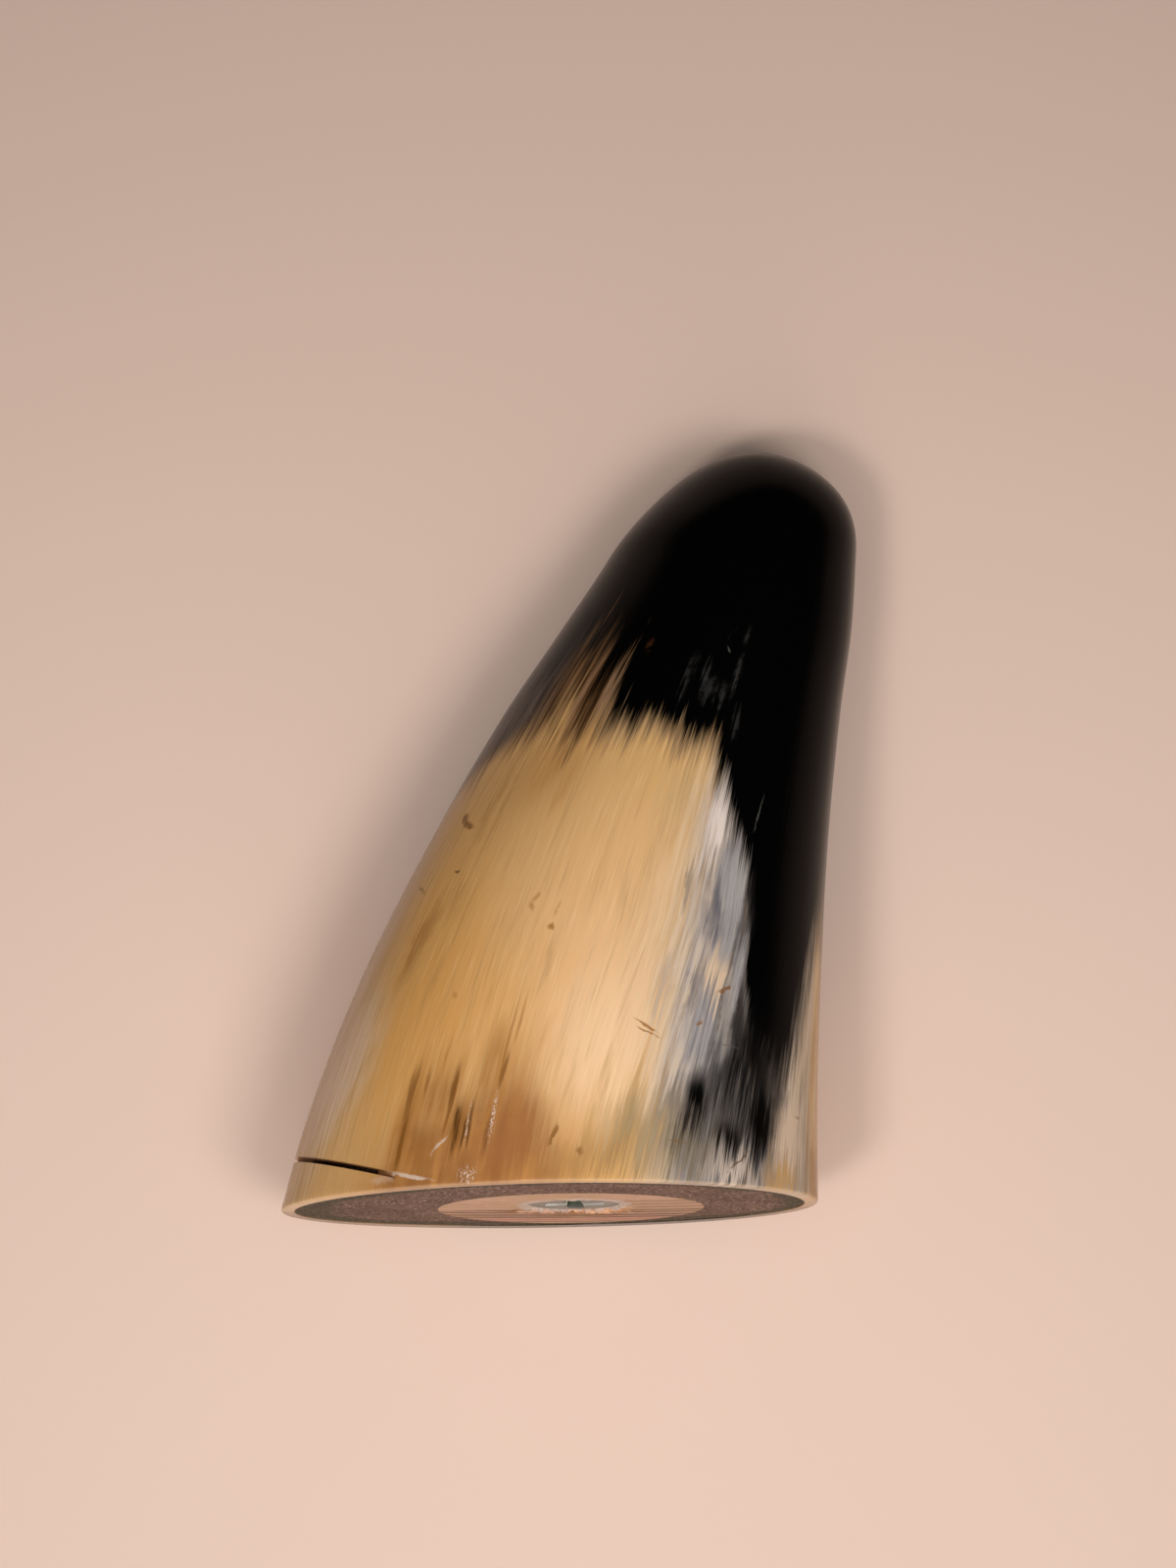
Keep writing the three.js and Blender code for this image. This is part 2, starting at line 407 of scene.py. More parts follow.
# %% Blade
CUT_ROOT = (-21.75, 7.85, 28.75)
CUT_LENGTH, CUT_WIDTH, CUT_REACH = 40.0, 0.6, 20.0
CUT_RISE, CUT_TURN, CUT_TILT = math.radians(58), math.radians(-15.5), math.radians(7)


def add_blade():
    nothing_selected()
    bpy.ops.mesh.primitive_cube_add(size=1, location=(0, 0, 0))
    blade = bpy.context.object
    blade.name = "blade"
    turn = (
        Matrix.Rotation(-CUT_TILT, 4, "X")
        @ Matrix.Rotation(CUT_TURN, 4, "Z")
        @ Matrix.Rotation(-CUT_RISE, 4, "Y")
        @ Matrix.Translation((0, 0, CUT_REACH / 2 * MM))
        @ Matrix.Diagonal((CUT_LENGTH * MM, CUT_WIDTH * MM, CUT_REACH * MM, 1))
    )
    blade.data.transform(Matrix.Translation(row_point(*CUT_ROOT)) @ turn)
    return blade


blade = add_blade()
apply_modifier(horn, "BOOLEAN", operation="DIFFERENCE", solver="EXACT", object=blade)
report(horn)

# %% [markdown]
# ## Directions for the horn's grain
# Horn is a bundle of fibres that run from the base to the tip, and its colours are streaks along
# them. A pattern on plain object coordinates would run straight through the bend. So each vertex
# stores where it is along the horn and in which direction round it, and the finish reads these.

# %% Store along, side and up on the horn
SEARCH_STEPS = 6


def horn_coordinates(p):
    """Distance along the horn in millimetres, and the direction (side, up) round it."""
    x, y, z = (p / MM) - FRAME_SHIFT
    along = y
    for _ in range(SEARCH_STEPS):
        along = y - (z - section(along)[3]) * math.tan(tilt(along))
    centre, half, height, widest = section(along)
    rise = z - widest
    s = rise / (height - widest if rise > 0 else widest + WORN_FLAT)
    c = (x - centre - LEAN * rise) / half
    power = (LOWER_FULLNESS if rise < 0 else UPPER_FULLNESS) / 2
    s = math.copysign(abs(s) ** power, s)
    c = math.copysign(abs(c) ** power, c)
    length = math.hypot(c, s) or 1.0
    return along, c / length, s / length


def store_grain(piece):
    rows = [horn_coordinates(v.co) for v in piece.data.vertices]
    for name, values in zip(("along", "side", "up"), zip(*rows)):
        piece.data.attributes.new(name, "FLOAT", "POINT")
        piece.data.attributes[name].data.foreach_set("value", values)


store_grain(horn)
smooth(horn, degrees=30)
print("grain stored on", len(horn.data.vertices), "vertices")

# %% [markdown]
# ## The filling
# Wood flour stirred into glue was packed round the dowel and sanded flush with the rim. Its
# front is a flat ring between the horn and the dowel, so two loops are bridged with many cuts:
# that gives a fine, even mesh for the sanded roughness. The outer loop is then extruded along
# the hollow to its end, and the inner loop makes the socket for the dowel.

# %% Filling
SET_BACK, ON_FACE = 0.1, 0.01
DOWEL_RADIUS, DOWEL_LENGTH = 15.0, 26.0
DOWEL_MIDDLE = (2.7, 19.1)
DRAWN_IN, SOCKET_GAP, END_GAP = 0.9985, 0.03, 0.2
FILL_CUTS = 30
GRAIN_FREQUENCY, GRAIN_HEIGHT, GRAIN_RISE, CALM_EDGE = 1100, 0.05, 0.02, 0.3


def circle_point(middle, angle, radius, depth=SET_BACK):
    """A point of a circle round a middle (x, up) of the sawn face, in the row frame."""
    x, up = middle
    return face_point(x + radius * math.cos(angle), up + radius * math.sin(angle), depth)


def from_middle(p, middle):
    """How far p lies sideways and upward from a middle (x, up) of the sawn face, in millimetres."""
    flat = Vector(p) - face_point(*middle)
    return flat.x / MM, flat.dot(FACE_UP) / MM


def away(p, middle):
    """Distance of p from a middle (x, up), drawn on the sawn face, in millimetres."""
    return math.hypot(*from_middle(p, middle))


filling = circle_piece("filling", RINGS_AROUND)
rim_middle = sum(inner_rim, Vector()) / len(inner_rim)
rim_in_turn = sorted(inner_rim, key=lambda p: math.atan2(p.z - rim_middle.z, p.x - rim_middle.x))
with edited_mesh() as bm:
    for v, p in zip(sorted(bm.verts, key=lambda v: math.atan2(v.co.z, v.co.x)), rim_in_turn):
        v.co = rim_middle + (p - rim_middle) * DRAWN_IN + FACE_IN * SET_BACK * MM
add_circle(RINGS_AROUND)
put_selected(lambda angle: circle_point(DOWEL_MIDDLE, angle, DOWEL_RADIUS + SOCKET_GAP))
bridge_open_loops(FILL_CUTS)
select_open_loop(lambda p: away(p, DOWEL_MIDDLE) < DOWEL_RADIUS + 2 * SOCKET_GAP)
extrude_ring((0, DOWEL_LENGTH * MM, 0))
bpy.ops.mesh.edge_face_add()
select_open_loop(lambda p: away(p, DOWEL_MIDDLE) > DOWEL_RADIUS + 2 * SOCKET_GAP)
extrude_hollow(BASE_ALONG + SET_BACK, END_GAP)
bpy.ops.mesh.edge_face_add()
close_and_tidy()
apply_modifier(filling, "BOOLEAN", operation="DIFFERENCE", solver="EXACT", object=blade)
bpy.data.objects.remove(blade)

wall = KDTree(len(inner_rim))
for number, p in enumerate(inner_rim):
    wall.insert(p, number)
wall.balance()
from_wall = [wall.find(v.co)[2] / MM for v in filling.data.vertices]
filling.data.attributes.new("from_wall", "FLOAT", "POINT")
filling.data.attributes["from_wall"].data.foreach_set("value", from_wall)
for v, gap in zip(filling.data.vertices, from_wall):
    on_face = abs(face_depth(v.co) - SET_BACK) < 2 * ON_FACE
    if on_face and min(gap, away(v.co, DOWEL_MIDDLE) - DOWEL_RADIUS) > CALM_EDGE:
        rise = GRAIN_HEIGHT * noise.noise(v.co * GRAIN_FREQUENCY) + GRAIN_RISE
        v.co -= FACE_IN * rise * MM
report(filling)

# %% [markdown]
# ## The pine dowel
# The dowel's end shows its growth rings and a screw hole whose edge is crushed and torn where
# the driver slipped. Its front is again two bridged loops, from the hole's edge to the rim. The
# countersink and the shaft hole are extruded inward from the hole's edge, and the sides and the
# back from the outer loop. The front's faces are then divided once more for the fine relief.

# %% Dowel
SCREW_MIDDLE = (3.1, 22.8)
HEAD_RADIUS, HEAD_DEPTH = 5.1, 2.8
SINK_RADIUS, SINK_DEPTH = HEAD_RADIUS + 0.3, HEAD_DEPTH + 0.4
HOLE_RADIUS, HOLE_DEPTH = 2.6, 22.5
WOOD_CUTS = 26

dowel = circle_piece("pine_dowel", RINGS_AROUND)
put_selected(lambda angle: circle_point(DOWEL_MIDDLE, angle, DOWEL_RADIUS))
add_circle(RINGS_AROUND)
put_selected(lambda angle: circle_point(SCREW_MIDDLE, angle, SINK_RADIUS))
bridge_open_loops(WOOD_CUTS)
select_open_loop(lambda p: away(p, SCREW_MIDDLE) < SINK_RADIUS + ON_FACE)
cone = HOLE_RADIUS / SINK_RADIUS
extrude_ring(FACE_IN * SINK_DEPTH * MM, (cone,) * 3, face_point(*SCREW_MIDDLE, SET_BACK))
extrude_ring(FACE_IN * (HOLE_DEPTH - HEAD_DEPTH) * MM)
bpy.ops.mesh.edge_face_add()
select_open_loop(lambda p: away(p, DOWEL_MIDDLE) > DOWEL_RADIUS - ON_FACE)
extrude_ring((0, DOWEL_LENGTH * MM, 0))
bpy.ops.mesh.edge_face_add()
select_where(lambda p: abs(face_depth(p) - SET_BACK) < ON_FACE, "faces")
bpy.ops.mesh.subdivide(number_cuts=1)
close_and_tidy()

# %% [markdown]
# ## Bruises in the pine
# The driver slipped below the screw. It crushed a lip round the head and tore fibres out of the
# soft wood, and the sander left the hard winter rings a little proud. The dowel's front is moved
# in and out by a fraction of a millimetre: a low lip, torn spots with loose fibres, and rings. A
# winter line is given by its height and strength, a torn spot by its middle and half widths.

# %% Relief of the dowel's front
LIP_HEIGHT, LIP_AT, LIP_WIDTH = 0.16, 0.7, 0.45
TORN_DEPTH, RING_HEIGHT, RING_WIDTH = 0.5, 0.05, 0.35
TORN_SPREAD, TORN_RAGGED = 1.25, 0.35
HIGHEST, FLAT_EDGE = 0.3, 0.2
WINTER_LINES = [
    (-13.1, 0.8), (-11.2, 0.95), (-8.8, 0.9), (-6.5, 0.95), (-3.9, 0.9), (-1.8, 0.85), (1.2, 0.55),
    (4.1, 0.5), (6.9, 0.45),
]
TORN_SPOTS = [(1.6, -2.6, 5.6, 2.6), (-4.2, -1.2, 2.2, 2.4), (5.4, -0.4, 1.6, 2.6)]


def ring_height(x, up):
    """Height of a growth ring where it crosses the dowel's middle; works on wires too."""
    return up + 0.05 * x - 0.006 * x * x


def relief(p):
    """Height of the worn front above the flat one, in millimetres."""
    x, up = from_middle(p, DOWEL_MIDDLE)
    from_head = away(p, SCREW_MIDDLE) - HEAD_RADIUS
    rough = noise.noise(Vector((x * 1.1, up * 1.1, 3.0)))
    fibres = noise.noise(Vector((x * 2.6, up * 0.5, 9.0)))
    lip = LIP_HEIGHT * math.exp(-(((from_head - LIP_AT) / LIP_WIDTH) ** 2)) * (0.7 + rough)
    torn = 0.0
    for cx, cup, wide, high in TORN_SPOTS:
        outward = math.hypot((x - cx) / wide, (up - cup) / high) + TORN_RAGGED * rough
        torn = max(torn, min(max(TORN_SPREAD - outward, 0.0), 1.0))
    tear = torn * TORN_DEPTH * (fibres + 0.7 * rough - 0.25)
    at = ring_height(x, up)
    ring = sum(strong * math.exp(-(((at - line) / RING_WIDTH) ** 2)) for line, strong in WINTER_LINES)
    return min(lip + tear + RING_HEIGHT * ring * min(max(from_head / 2, 0), 1), HIGHEST)


for v in dowel.data.vertices:
    inside = away(v.co, DOWEL_MIDDLE) < DOWEL_RADIUS - FLAT_EDGE
    if inside and abs(face_depth(v.co) - SET_BACK) < ON_FACE:
        v.co -= FACE_IN * relief(v.co) * MM
smooth(dowel, degrees=50)
report(dowel)

# %% [markdown]
# ## The screw
# A countersunk wood screw: a flat head with a cross recess, a cone under it, and a shank that
# tapers to a point and has a stack of rings as its thread. Each ring is extruded from the one
# before. The head is closed by bridging its rim to the outline of a cross, and the cross is
# extruded inward while it shrinks, so its walls taper as those that a driver's bit fits.

# %% Screw
SCREW_SIDES = 96
THREAD_RADIUS, CORE_RADIUS, POINT_RADIUS = 2.4, 1.7, 0.05
SCREW_LENGTH, THREAD_START, THREAD_END, THREAD_PITCH = 22.0, HEAD_DEPTH + 0.4, 17.0, 2.4
HEAD_SINK = 2 * SET_BACK
HEAD_ROUND, HEAD_EDGE = 0.12, 0.4
THREAD = ((0.0, CORE_RADIUS), (0.4, THREAD_RADIUS), (0.5, THREAD_RADIUS), (0.9, CORE_RADIUS))
profile = [(HEAD_RADIUS - HEAD_ROUND, 0.0), (HEAD_RADIUS, HEAD_ROUND), (HEAD_RADIUS, HEAD_EDGE)]
profile.append((CORE_RADIUS, HEAD_DEPTH))
for n in range(int((THREAD_END - THREAD_START) / THREAD_PITCH)):
    foot = THREAD_START + n * THREAD_PITCH
    profile += [(radius, foot + share * THREAD_PITCH) for share, radius in THREAD]
profile += [(CORE_RADIUS, THREAD_END), (POINT_RADIUS, SCREW_LENGTH)]

screw = circle_piece("wood_screw", SCREW_SIDES)
put_selected(lambda angle: circle_point(SCREW_MIDDLE, angle, profile[0][0], HEAD_SINK))
for (r0, d0), (r1, d1) in zip(profile, profile[1:]):
    about = face_point(*SCREW_MIDDLE, HEAD_SINK + d0)
    extrude_ring(FACE_IN * (d1 - d0) * MM, (r1 / r0,) * 3, about)
bpy.ops.mesh.edge_face_add()

RECESS_REACH, RECESS_DEPTH, RECESS_TAPER = 3.4, 2.4, 0.4
RECESS_TURN, ARM_ANGLE = math.radians(3.75), math.radians(15)
ARM_HALF = RECESS_REACH * math.tan(ARM_ANGLE)
PAST_CORNERS = RECESS_REACH * 1.1


def cross_radius(angle):
    """Distance from the middle to the outline of a cross."""
    c, s = (max(abs(side), 1e-6) for side in (math.cos(angle), math.sin(angle)))
    lying = min(RECESS_REACH / c, ARM_HALF / s)
    standing = min(RECESS_REACH / s, ARM_HALF / c)
    return max(lying, standing)


def on_cross(p):
    """Whether a point of the head's face belongs to the cross."""
    return away(p, SCREW_MIDDLE) < PAST_CORNERS and face_depth(p) < HEAD_SINK + ON_FACE


bpy.ops.mesh.select_all(action="DESELECT")
add_circle(SCREW_SIDES)
put_selected(
    lambda angle: circle_point(SCREW_MIDDLE, angle + RECESS_TURN, cross_radius(angle), HEAD_SINK)
)
bridge_open_loops()
select_where(on_cross)
extrude_ring(FACE_IN * RECESS_DEPTH * MM, (RECESS_TAPER,) * 3, face_point(*SCREW_MIDDLE, HEAD_SINK))
bpy.ops.mesh.edge_face_add()
close_and_tidy()
smooth(screw, degrees=30)
report(screw)

# %% [markdown]
# ## Shader helper
# A finish is easiest to read as sums. This small class wraps the output of a shader node, so
# that an expression such as `1 - mask` adds the Math nodes itself. Every other node comes from
# one method, `node`, which takes the node's kind, its settings and what goes into its sockets.
# Colours are wires or display colours from 0 to 255.


# %% Shader helper
class Wire:
    def __init__(self, tree, socket):
        self.tree, self.socket = tree, socket

    def node(self, kind, inputs=None, out=0, **settings):
        n = self.tree.nodes.new(kind)
        for key, value in settings.items():
            setattr(n, key, value)
        for key, value in (inputs or {}).items():
            connect(n, key, value)
        return Wire(self.tree, n.outputs[out])

    def maths(self, operation, *others):
        return self.node("ShaderNodeMath", dict(enumerate((self, *others))), operation=operation)

    def __add__(self, other):
        return self.maths("ADD", other)

    def __sub__(self, other):
        return self.maths("SUBTRACT", other)

    def __rsub__(self, other):
        return self.node("ShaderNodeMath", {0: other, 1: self}, operation="SUBTRACT")

    def __mul__(self, other):
        return self.maths("MULTIPLY", other)

    def __truediv__(self, other):
        return self.maths("DIVIDE", other)

    __radd__, __rmul__ = __add__, __mul__

    def sway(self, size):
        """A noise from 0 to 1 as a swing to both sides of 0."""
        return (self - 0.5) * size

    def smoothstep(self, low, high, top=1.0):
        """0 below low, top above high and smooth between; low may be the larger of the two."""
        inputs = {0: self, 1: low, 2: high, 3: 0.0, 4: top}
        return self.node("ShaderNodeMapRange", inputs, interpolation_type="SMOOTHSTEP")

    def band(self, start, rise, fall, end):
        """1 from rise to fall, 0 outside start and end."""
        return self.smoothstep(start, rise) * self.smoothstep(end, fall)

    def ramp(self, stops):
        """The colour at this value between stops of (value, colour or grey from 0 to 1)."""
        wire = self.node("ShaderNodeValToRGB", {0: self})
        elements = wire.socket.node.color_ramp.elements
        elements.remove(elements[1])
        elements[0].position = stops[0][0]
        for n, (place, tone) in enumerate(stops):
            element = elements.new(place) if n else elements[0]
            element.color = paint(tone) if isinstance(tone, tuple) else (tone, tone, tone, 1)
        return wire

    def curve(self, points, size):
        """The height of a smooth curve through points of (0 to 1, height), size the highest."""
        wire = self.node("ShaderNodeFloatCurve", {1: self})
        mapping = wire.socket.node.mapping
        line = mapping.curves[0]
        line.points[0].location = (points[0][0], points[0][1] / size)
        line.points[1].location = (points[-1][0], points[-1][1] / size)
        for place, height in points[1:-1]:
            line.points.new(place, height / size)
        mapping.update()
        return wire * size

    def mix(self, a, b):
        """Colours a and b mixed by this value."""
        return self.node("ShaderNodeMix", {0: self, 6: paint(a), 7: paint(b)}, 2, data_type="RGBA")

    def shaded(self, tone, share):
        """This colour multiplied by a tone, by a share of its full effect."""
        inputs = {0: share, 6: self, 7: tone}
        return self.node("ShaderNodeMix", inputs, 2, data_type="RGBA", blend_type="MULTIPLY")

    def part(self, axis):
        """This vector's x, y or z: axis 0, 1 or 2."""
        return self.node("ShaderNodeSeparateXYZ", {0: self}, axis)

    def minus(self, point):
        return self.node("ShaderNodeVectorMath", {0: self, 1: point}, operation="SUBTRACT")

    def dot(self, direction):
        return self.node("ShaderNodeVectorMath", {0: self, 1: direction}, 1, operation="DOT_PRODUCT")

    def bump(self, strength, distance):
        """The normal of a surface that this height roughens."""
        return self.node("ShaderNodeBump", {"Strength": strength, "Distance": distance, "Height": self})


def paint(colour):
    """A display colour as the linear colour that Blender mixes; a wire stays as it is."""
    if isinstance(colour, Wire):
        return colour
    linear = [((c / 255 + 0.055) / 1.055) ** 2.4 if c > 10 else c / 255 / 12.92 for c in colour]
    return (*linear, 1.0)


def connect(node, key, value):
    """Links a wire to a node's socket, or sets the socket to a constant."""
    if isinstance(value, Wire):
        value.tree.links.new(value.socket, node.inputs[key])
    else:
        node.inputs[key].default_value = value


def new_finish(name):
    """A new material, its shader and a wire to start from."""
    material = bpy.data.materials.new(name)
    material.use_nodes = True
    tree = material.node_tree
    tree.nodes.clear()
    shader = tree.nodes.new("ShaderNodeBsdfPrincipled")
    output = tree.nodes.new("ShaderNodeOutputMaterial")
    tree.links.new(shader.outputs[0], output.inputs[0])
    return material, shader, Wire(tree, shader.outputs[0])


def vector(x, y, z=0.0):
    return start.node("ShaderNodeCombineXYZ", {0: x, 1: y, 2: z})


def stored(name):
    """A number that the piece's vertices carry."""
    return start.node("ShaderNodeAttribute", out=2, attribute_name=name)


def own_place():
    """The place on the piece, in metres."""
    return start.node("ShaderNodeTexCoord", out=3)


def noise_at(where, scale, detail=3.0, roughness=0.55):
    inputs = {"Vector": where, "Scale": scale, "Detail": detail, "Roughness": roughness}
    return start.node("ShaderNodeTexNoise", inputs)


def finish_piece(piece, material, slot, **sockets):
    """Sets the shader's sockets by name, with _ for a space, and gives the piece the material."""
    for name, value in sockets.items():
        connect(shader, name.replace("_", " "), value)
    piece.data.materials.clear()
    piece.data.materials.append(material)
    print(piece.name, "finish:", len(material.node_tree.nodes), "nodes")


print("shader helper ready")

# %% [markdown]
# ## The horn's finish: coordinates and streaks
# Polished horn is black where the pigment is dense and amber to milky where it is thin, and all
# of it is drawn out along the fibres. The finish therefore works on a map of the horn: `across`
# runs round it in millimetres from the seam underneath, and `along` runs from the base to the
# tip. Noise that is long in one direction and narrow in the other makes the fibres, which run
# a little aslant on the right of the top.

# %% Horn coordinates and streaks
horn_finish, shader, start = new_finish("polished_horn")
ROUND = 150.0
SEAM = 0.25
GRAIN_RADIUS = 25.0
GRAIN_SLANT, SLANT_END = 0.005, 32.0


def streaks(width, length, seed, detail=3.0, roughness=0.55):
    """Noise drawn out along the fibres: width and length of a streak in millimetres."""
    wide = GRAIN_RADIUS / width
    return noise_at(vector(grain_side * wide, grain_up * wide, along / length + seed), 1.0, detail, roughness)


along, side, up = stored("along"), stored("side"), stored("up")
turn = (up.maths("ARCTAN2", side) / TURN + SEAM).maths("FRACT")
slant = along.maths("MINIMUM", SLANT_END) * turn.smoothstep(0.56, 0.46, GRAIN_SLANT)
slanted = start.node(
    "ShaderNodeVectorRotate", {"Vector": vector(side, up), "Angle": slant}, rotation_type="Z_AXIS"
)
grain_side, grain_up = slanted.part(0), slanted.part(1)
broad = streaks(3.2, 16.0, 0.0, 2.0)
middle = streaks(1.2, 13.0, 4.0, 2.0)
fine = streaks(0.42, 11.0, 9.0, 4.0, 0.65)
hair = streaks(0.16, 5.0, 17.0, 2.0)
clouds = streaks(5.0, 5.0, 23.0, 4.0)
across = turn * ROUND
grit = noise_at(vector(across, along), 1.1, 3.0, 0.5)
ends = fine.sway(13) + middle.sway(7) + hair.sway(5)
horn_map = vector(across + clouds.sway(3.2) + fine.sway(1.4), along + ends)
streak_map = vector(
    across + clouds.sway(0.6) + fine.sway(0.3), along + fine.sway(5) + hair.sway(2)
)
crisp_map = vector(
    across + clouds.sway(0.5) + grit.sway(0.6), along + clouds.sway(0.6) + grit.sway(0.9)
)

# %% [markdown]
# ## Laying patches on the map
# Every cloud, stain and scratch is an ellipse on the map, and streaks eat into its edge. A row of
# a table gives its place round the horn and along it, its half length and half width, its colour
# and its strength. Where they aren't the usual ones, how much of it is solid and its direction in
# degrees follow (90 is along the fibres). A place round the horn counts turns from the right side,
# so that 0.25 is the top and 0.5 the left side; lengths are in millimetres. Curves and bands round
# the horn count from the seam underneath, so there 0.5 is the top.


# %% Patches
SPREAD, FADE_FROM = 1.4, 0.03


def patch(place, half_length, half_width, uneven, on, strength, solid=0.1, degrees=90):
    """A mask that is strongest in an ellipse on the map and fades to 0 at its edge."""
    inputs = {
        "Vector": on,
        "Location": (*place, 0),
        "Rotation": (0, 0, math.radians(degrees)),
        "Scale": (half_length * SPREAD, half_width * SPREAD, 1),
    }
    local = on.node("ShaderNodeMapping", inputs, vector_type="TEXTURE")
    near = on.node("ShaderNodeTexGradient", {0: local}, 1, gradient_type="SPHERICAL")
    return (near * uneven).smoothstep(FADE_FROM, 1 - solid, strength)


def on_horn(turns, distance):
    """A place on the horn's map in millimetres, from turns round the horn and millimetres along it."""
    return (turns + SEAM) * ROUND, distance


def lay_patches(colour, rows, uneven, on, locate=on_horn):
    """Lays a table of patches over a colour, one after the other."""
    for x, y, length, width, shade, *rest in rows:
        colour = patch(locate(x, y), length, width, uneven, on, *rest).mix(colour, shade)
    return colour


calm = middle.sway(1.4) + 1
torn = fine.sway(2.6) + hair.sway(1.6) + 1
blotchy = grit.sway(3.4) + 1

# %% [markdown]
# ## The amber field
# The clear part of the horn is amber, creamy where it is thickest and darker toward the left side, with a
# pinkish haze low on both sides; one creamy patch right of the top also stands for a broad painted highlight.
# Underneath, broad brown and cream streaks alternate. Fine fibres run through all of it, and their pale lines
# are partly painted glints along the grain. At the sawn end it is stained brown in streaks.

# %% Amber field
AMBER = (208, 163, 106)
OLIVE_RIM = (66, 60, 42)
AMBER_PATCHES = [
    (0.258, 27, 20, 15, (230, 186, 140), 0.95, 0),
    (0.3, 36, 13, 12, (220, 170, 110), 0.5, 0),
    # This creamy patch right of the top is partly the horn's cream and partly a broad painted highlight.
    (0.236, 18, 9, 8, (234, 194, 152), 0.9, 0),
    (0.365, 22, 18, 7, (210, 150, 76), 0.7, 0),
    (0.318, 20, 12, 8, (214, 158, 88), 0.6, 0),
    (0.41, 34, 14, 8, (202, 150, 82), 0.7, 0),
    (0.48, 30, 34, 9, (186, 152, 114), 0.8, 0.2),
    (0.375, 50, 7, 8, (184, 138, 84), 0.6, 0),
    (0.39, 46, 9, 0.7, (160, 116, 60), 0.4, 0),
    (0.376, 47, 9, 0.5, (160, 116, 60), 0.4, 0),
    (0.338, 52, 6, 5, (176, 124, 66), 0.5, 0),
    (0.222, 46, 7, 4, (190, 158, 114), 0.6, 0),
    (0.398, 31, 5.5, 1.1, (154, 106, 48), 0.6, 0.3, 96),
    (0.383, 36, 1.8, 0.8, (160, 112, 54), 0.4, 0.2, 80),
    (0.01, 20, 16, 9, (204, 164, 114), 0.8, 0.2),
    (0.04, 5, 4, 9, (170, 120, 66), 0.8, 0.2),
    (0.63, 3, 6, 12, (206, 178, 132), 0.8, 0.2),
    (-0.185, 2, 6, 13, OLIVE_RIM, 0.95, 0.55),
    (0.815, 2, 6, 13, OLIVE_RIM, 0.95, 0.55),
    (0.222, 33, 8, 4, (200, 162, 116), 0.5, 0),
]
HAZE = [
    (0.448, 15, 11, 5, (214, 184, 160), 0.85, 0),
    (0.424, 18, 9, 4, (216, 186, 156), 0.75, 0),
    (0.47, 30, 14, 5, (206, 176, 148), 0.5, 0),
    (0.212, 30, 20, 3.5, (222, 190, 154), 0.6, 0, 93),
    (0.58, 22, 20, 6, (222, 190, 150), 0.6, 0),
    (0.69, 12, 14, 5, (214, 184, 148), 0.6, 0),
    (-0.06, 14, 14, 6, (222, 192, 156), 0.6, 0),
]
colour = lay_patches(AMBER, AMBER_PATCHES, calm, horn_map)
unseen = 1 - turn.band(0.26, 0.36, 0.68, 0.78)
colour = (broad.smoothstep(0.50, 0.34, 0.5) * unseen).mix(colour, (150, 100, 50))
colour = (broad.smoothstep(0.52, 0.68, 0.5) * unseen).mix(colour, (234, 206, 168))
colour = lay_patches(colour, HAZE, torn, horn_map)
fibre = fine * 0.45 + hair * 0.3 + middle * 0.25
fibre_tone = fibre.ramp([(0.38, 0.72), (0.47, 0.94), (0.55, 1.0)])
colour = colour.shaded(fibre_tone, 0.68)
# Pale lines along the fibres: partly the horn's own pale fibres and partly painted glints along the grain.
pale_fibres_and_glints = (hair * 0.5 + fine * 0.5).smoothstep(0.54, 0.66, 0.18)
colour = pale_fibres_and_glints.mix(colour, (246, 216, 170))

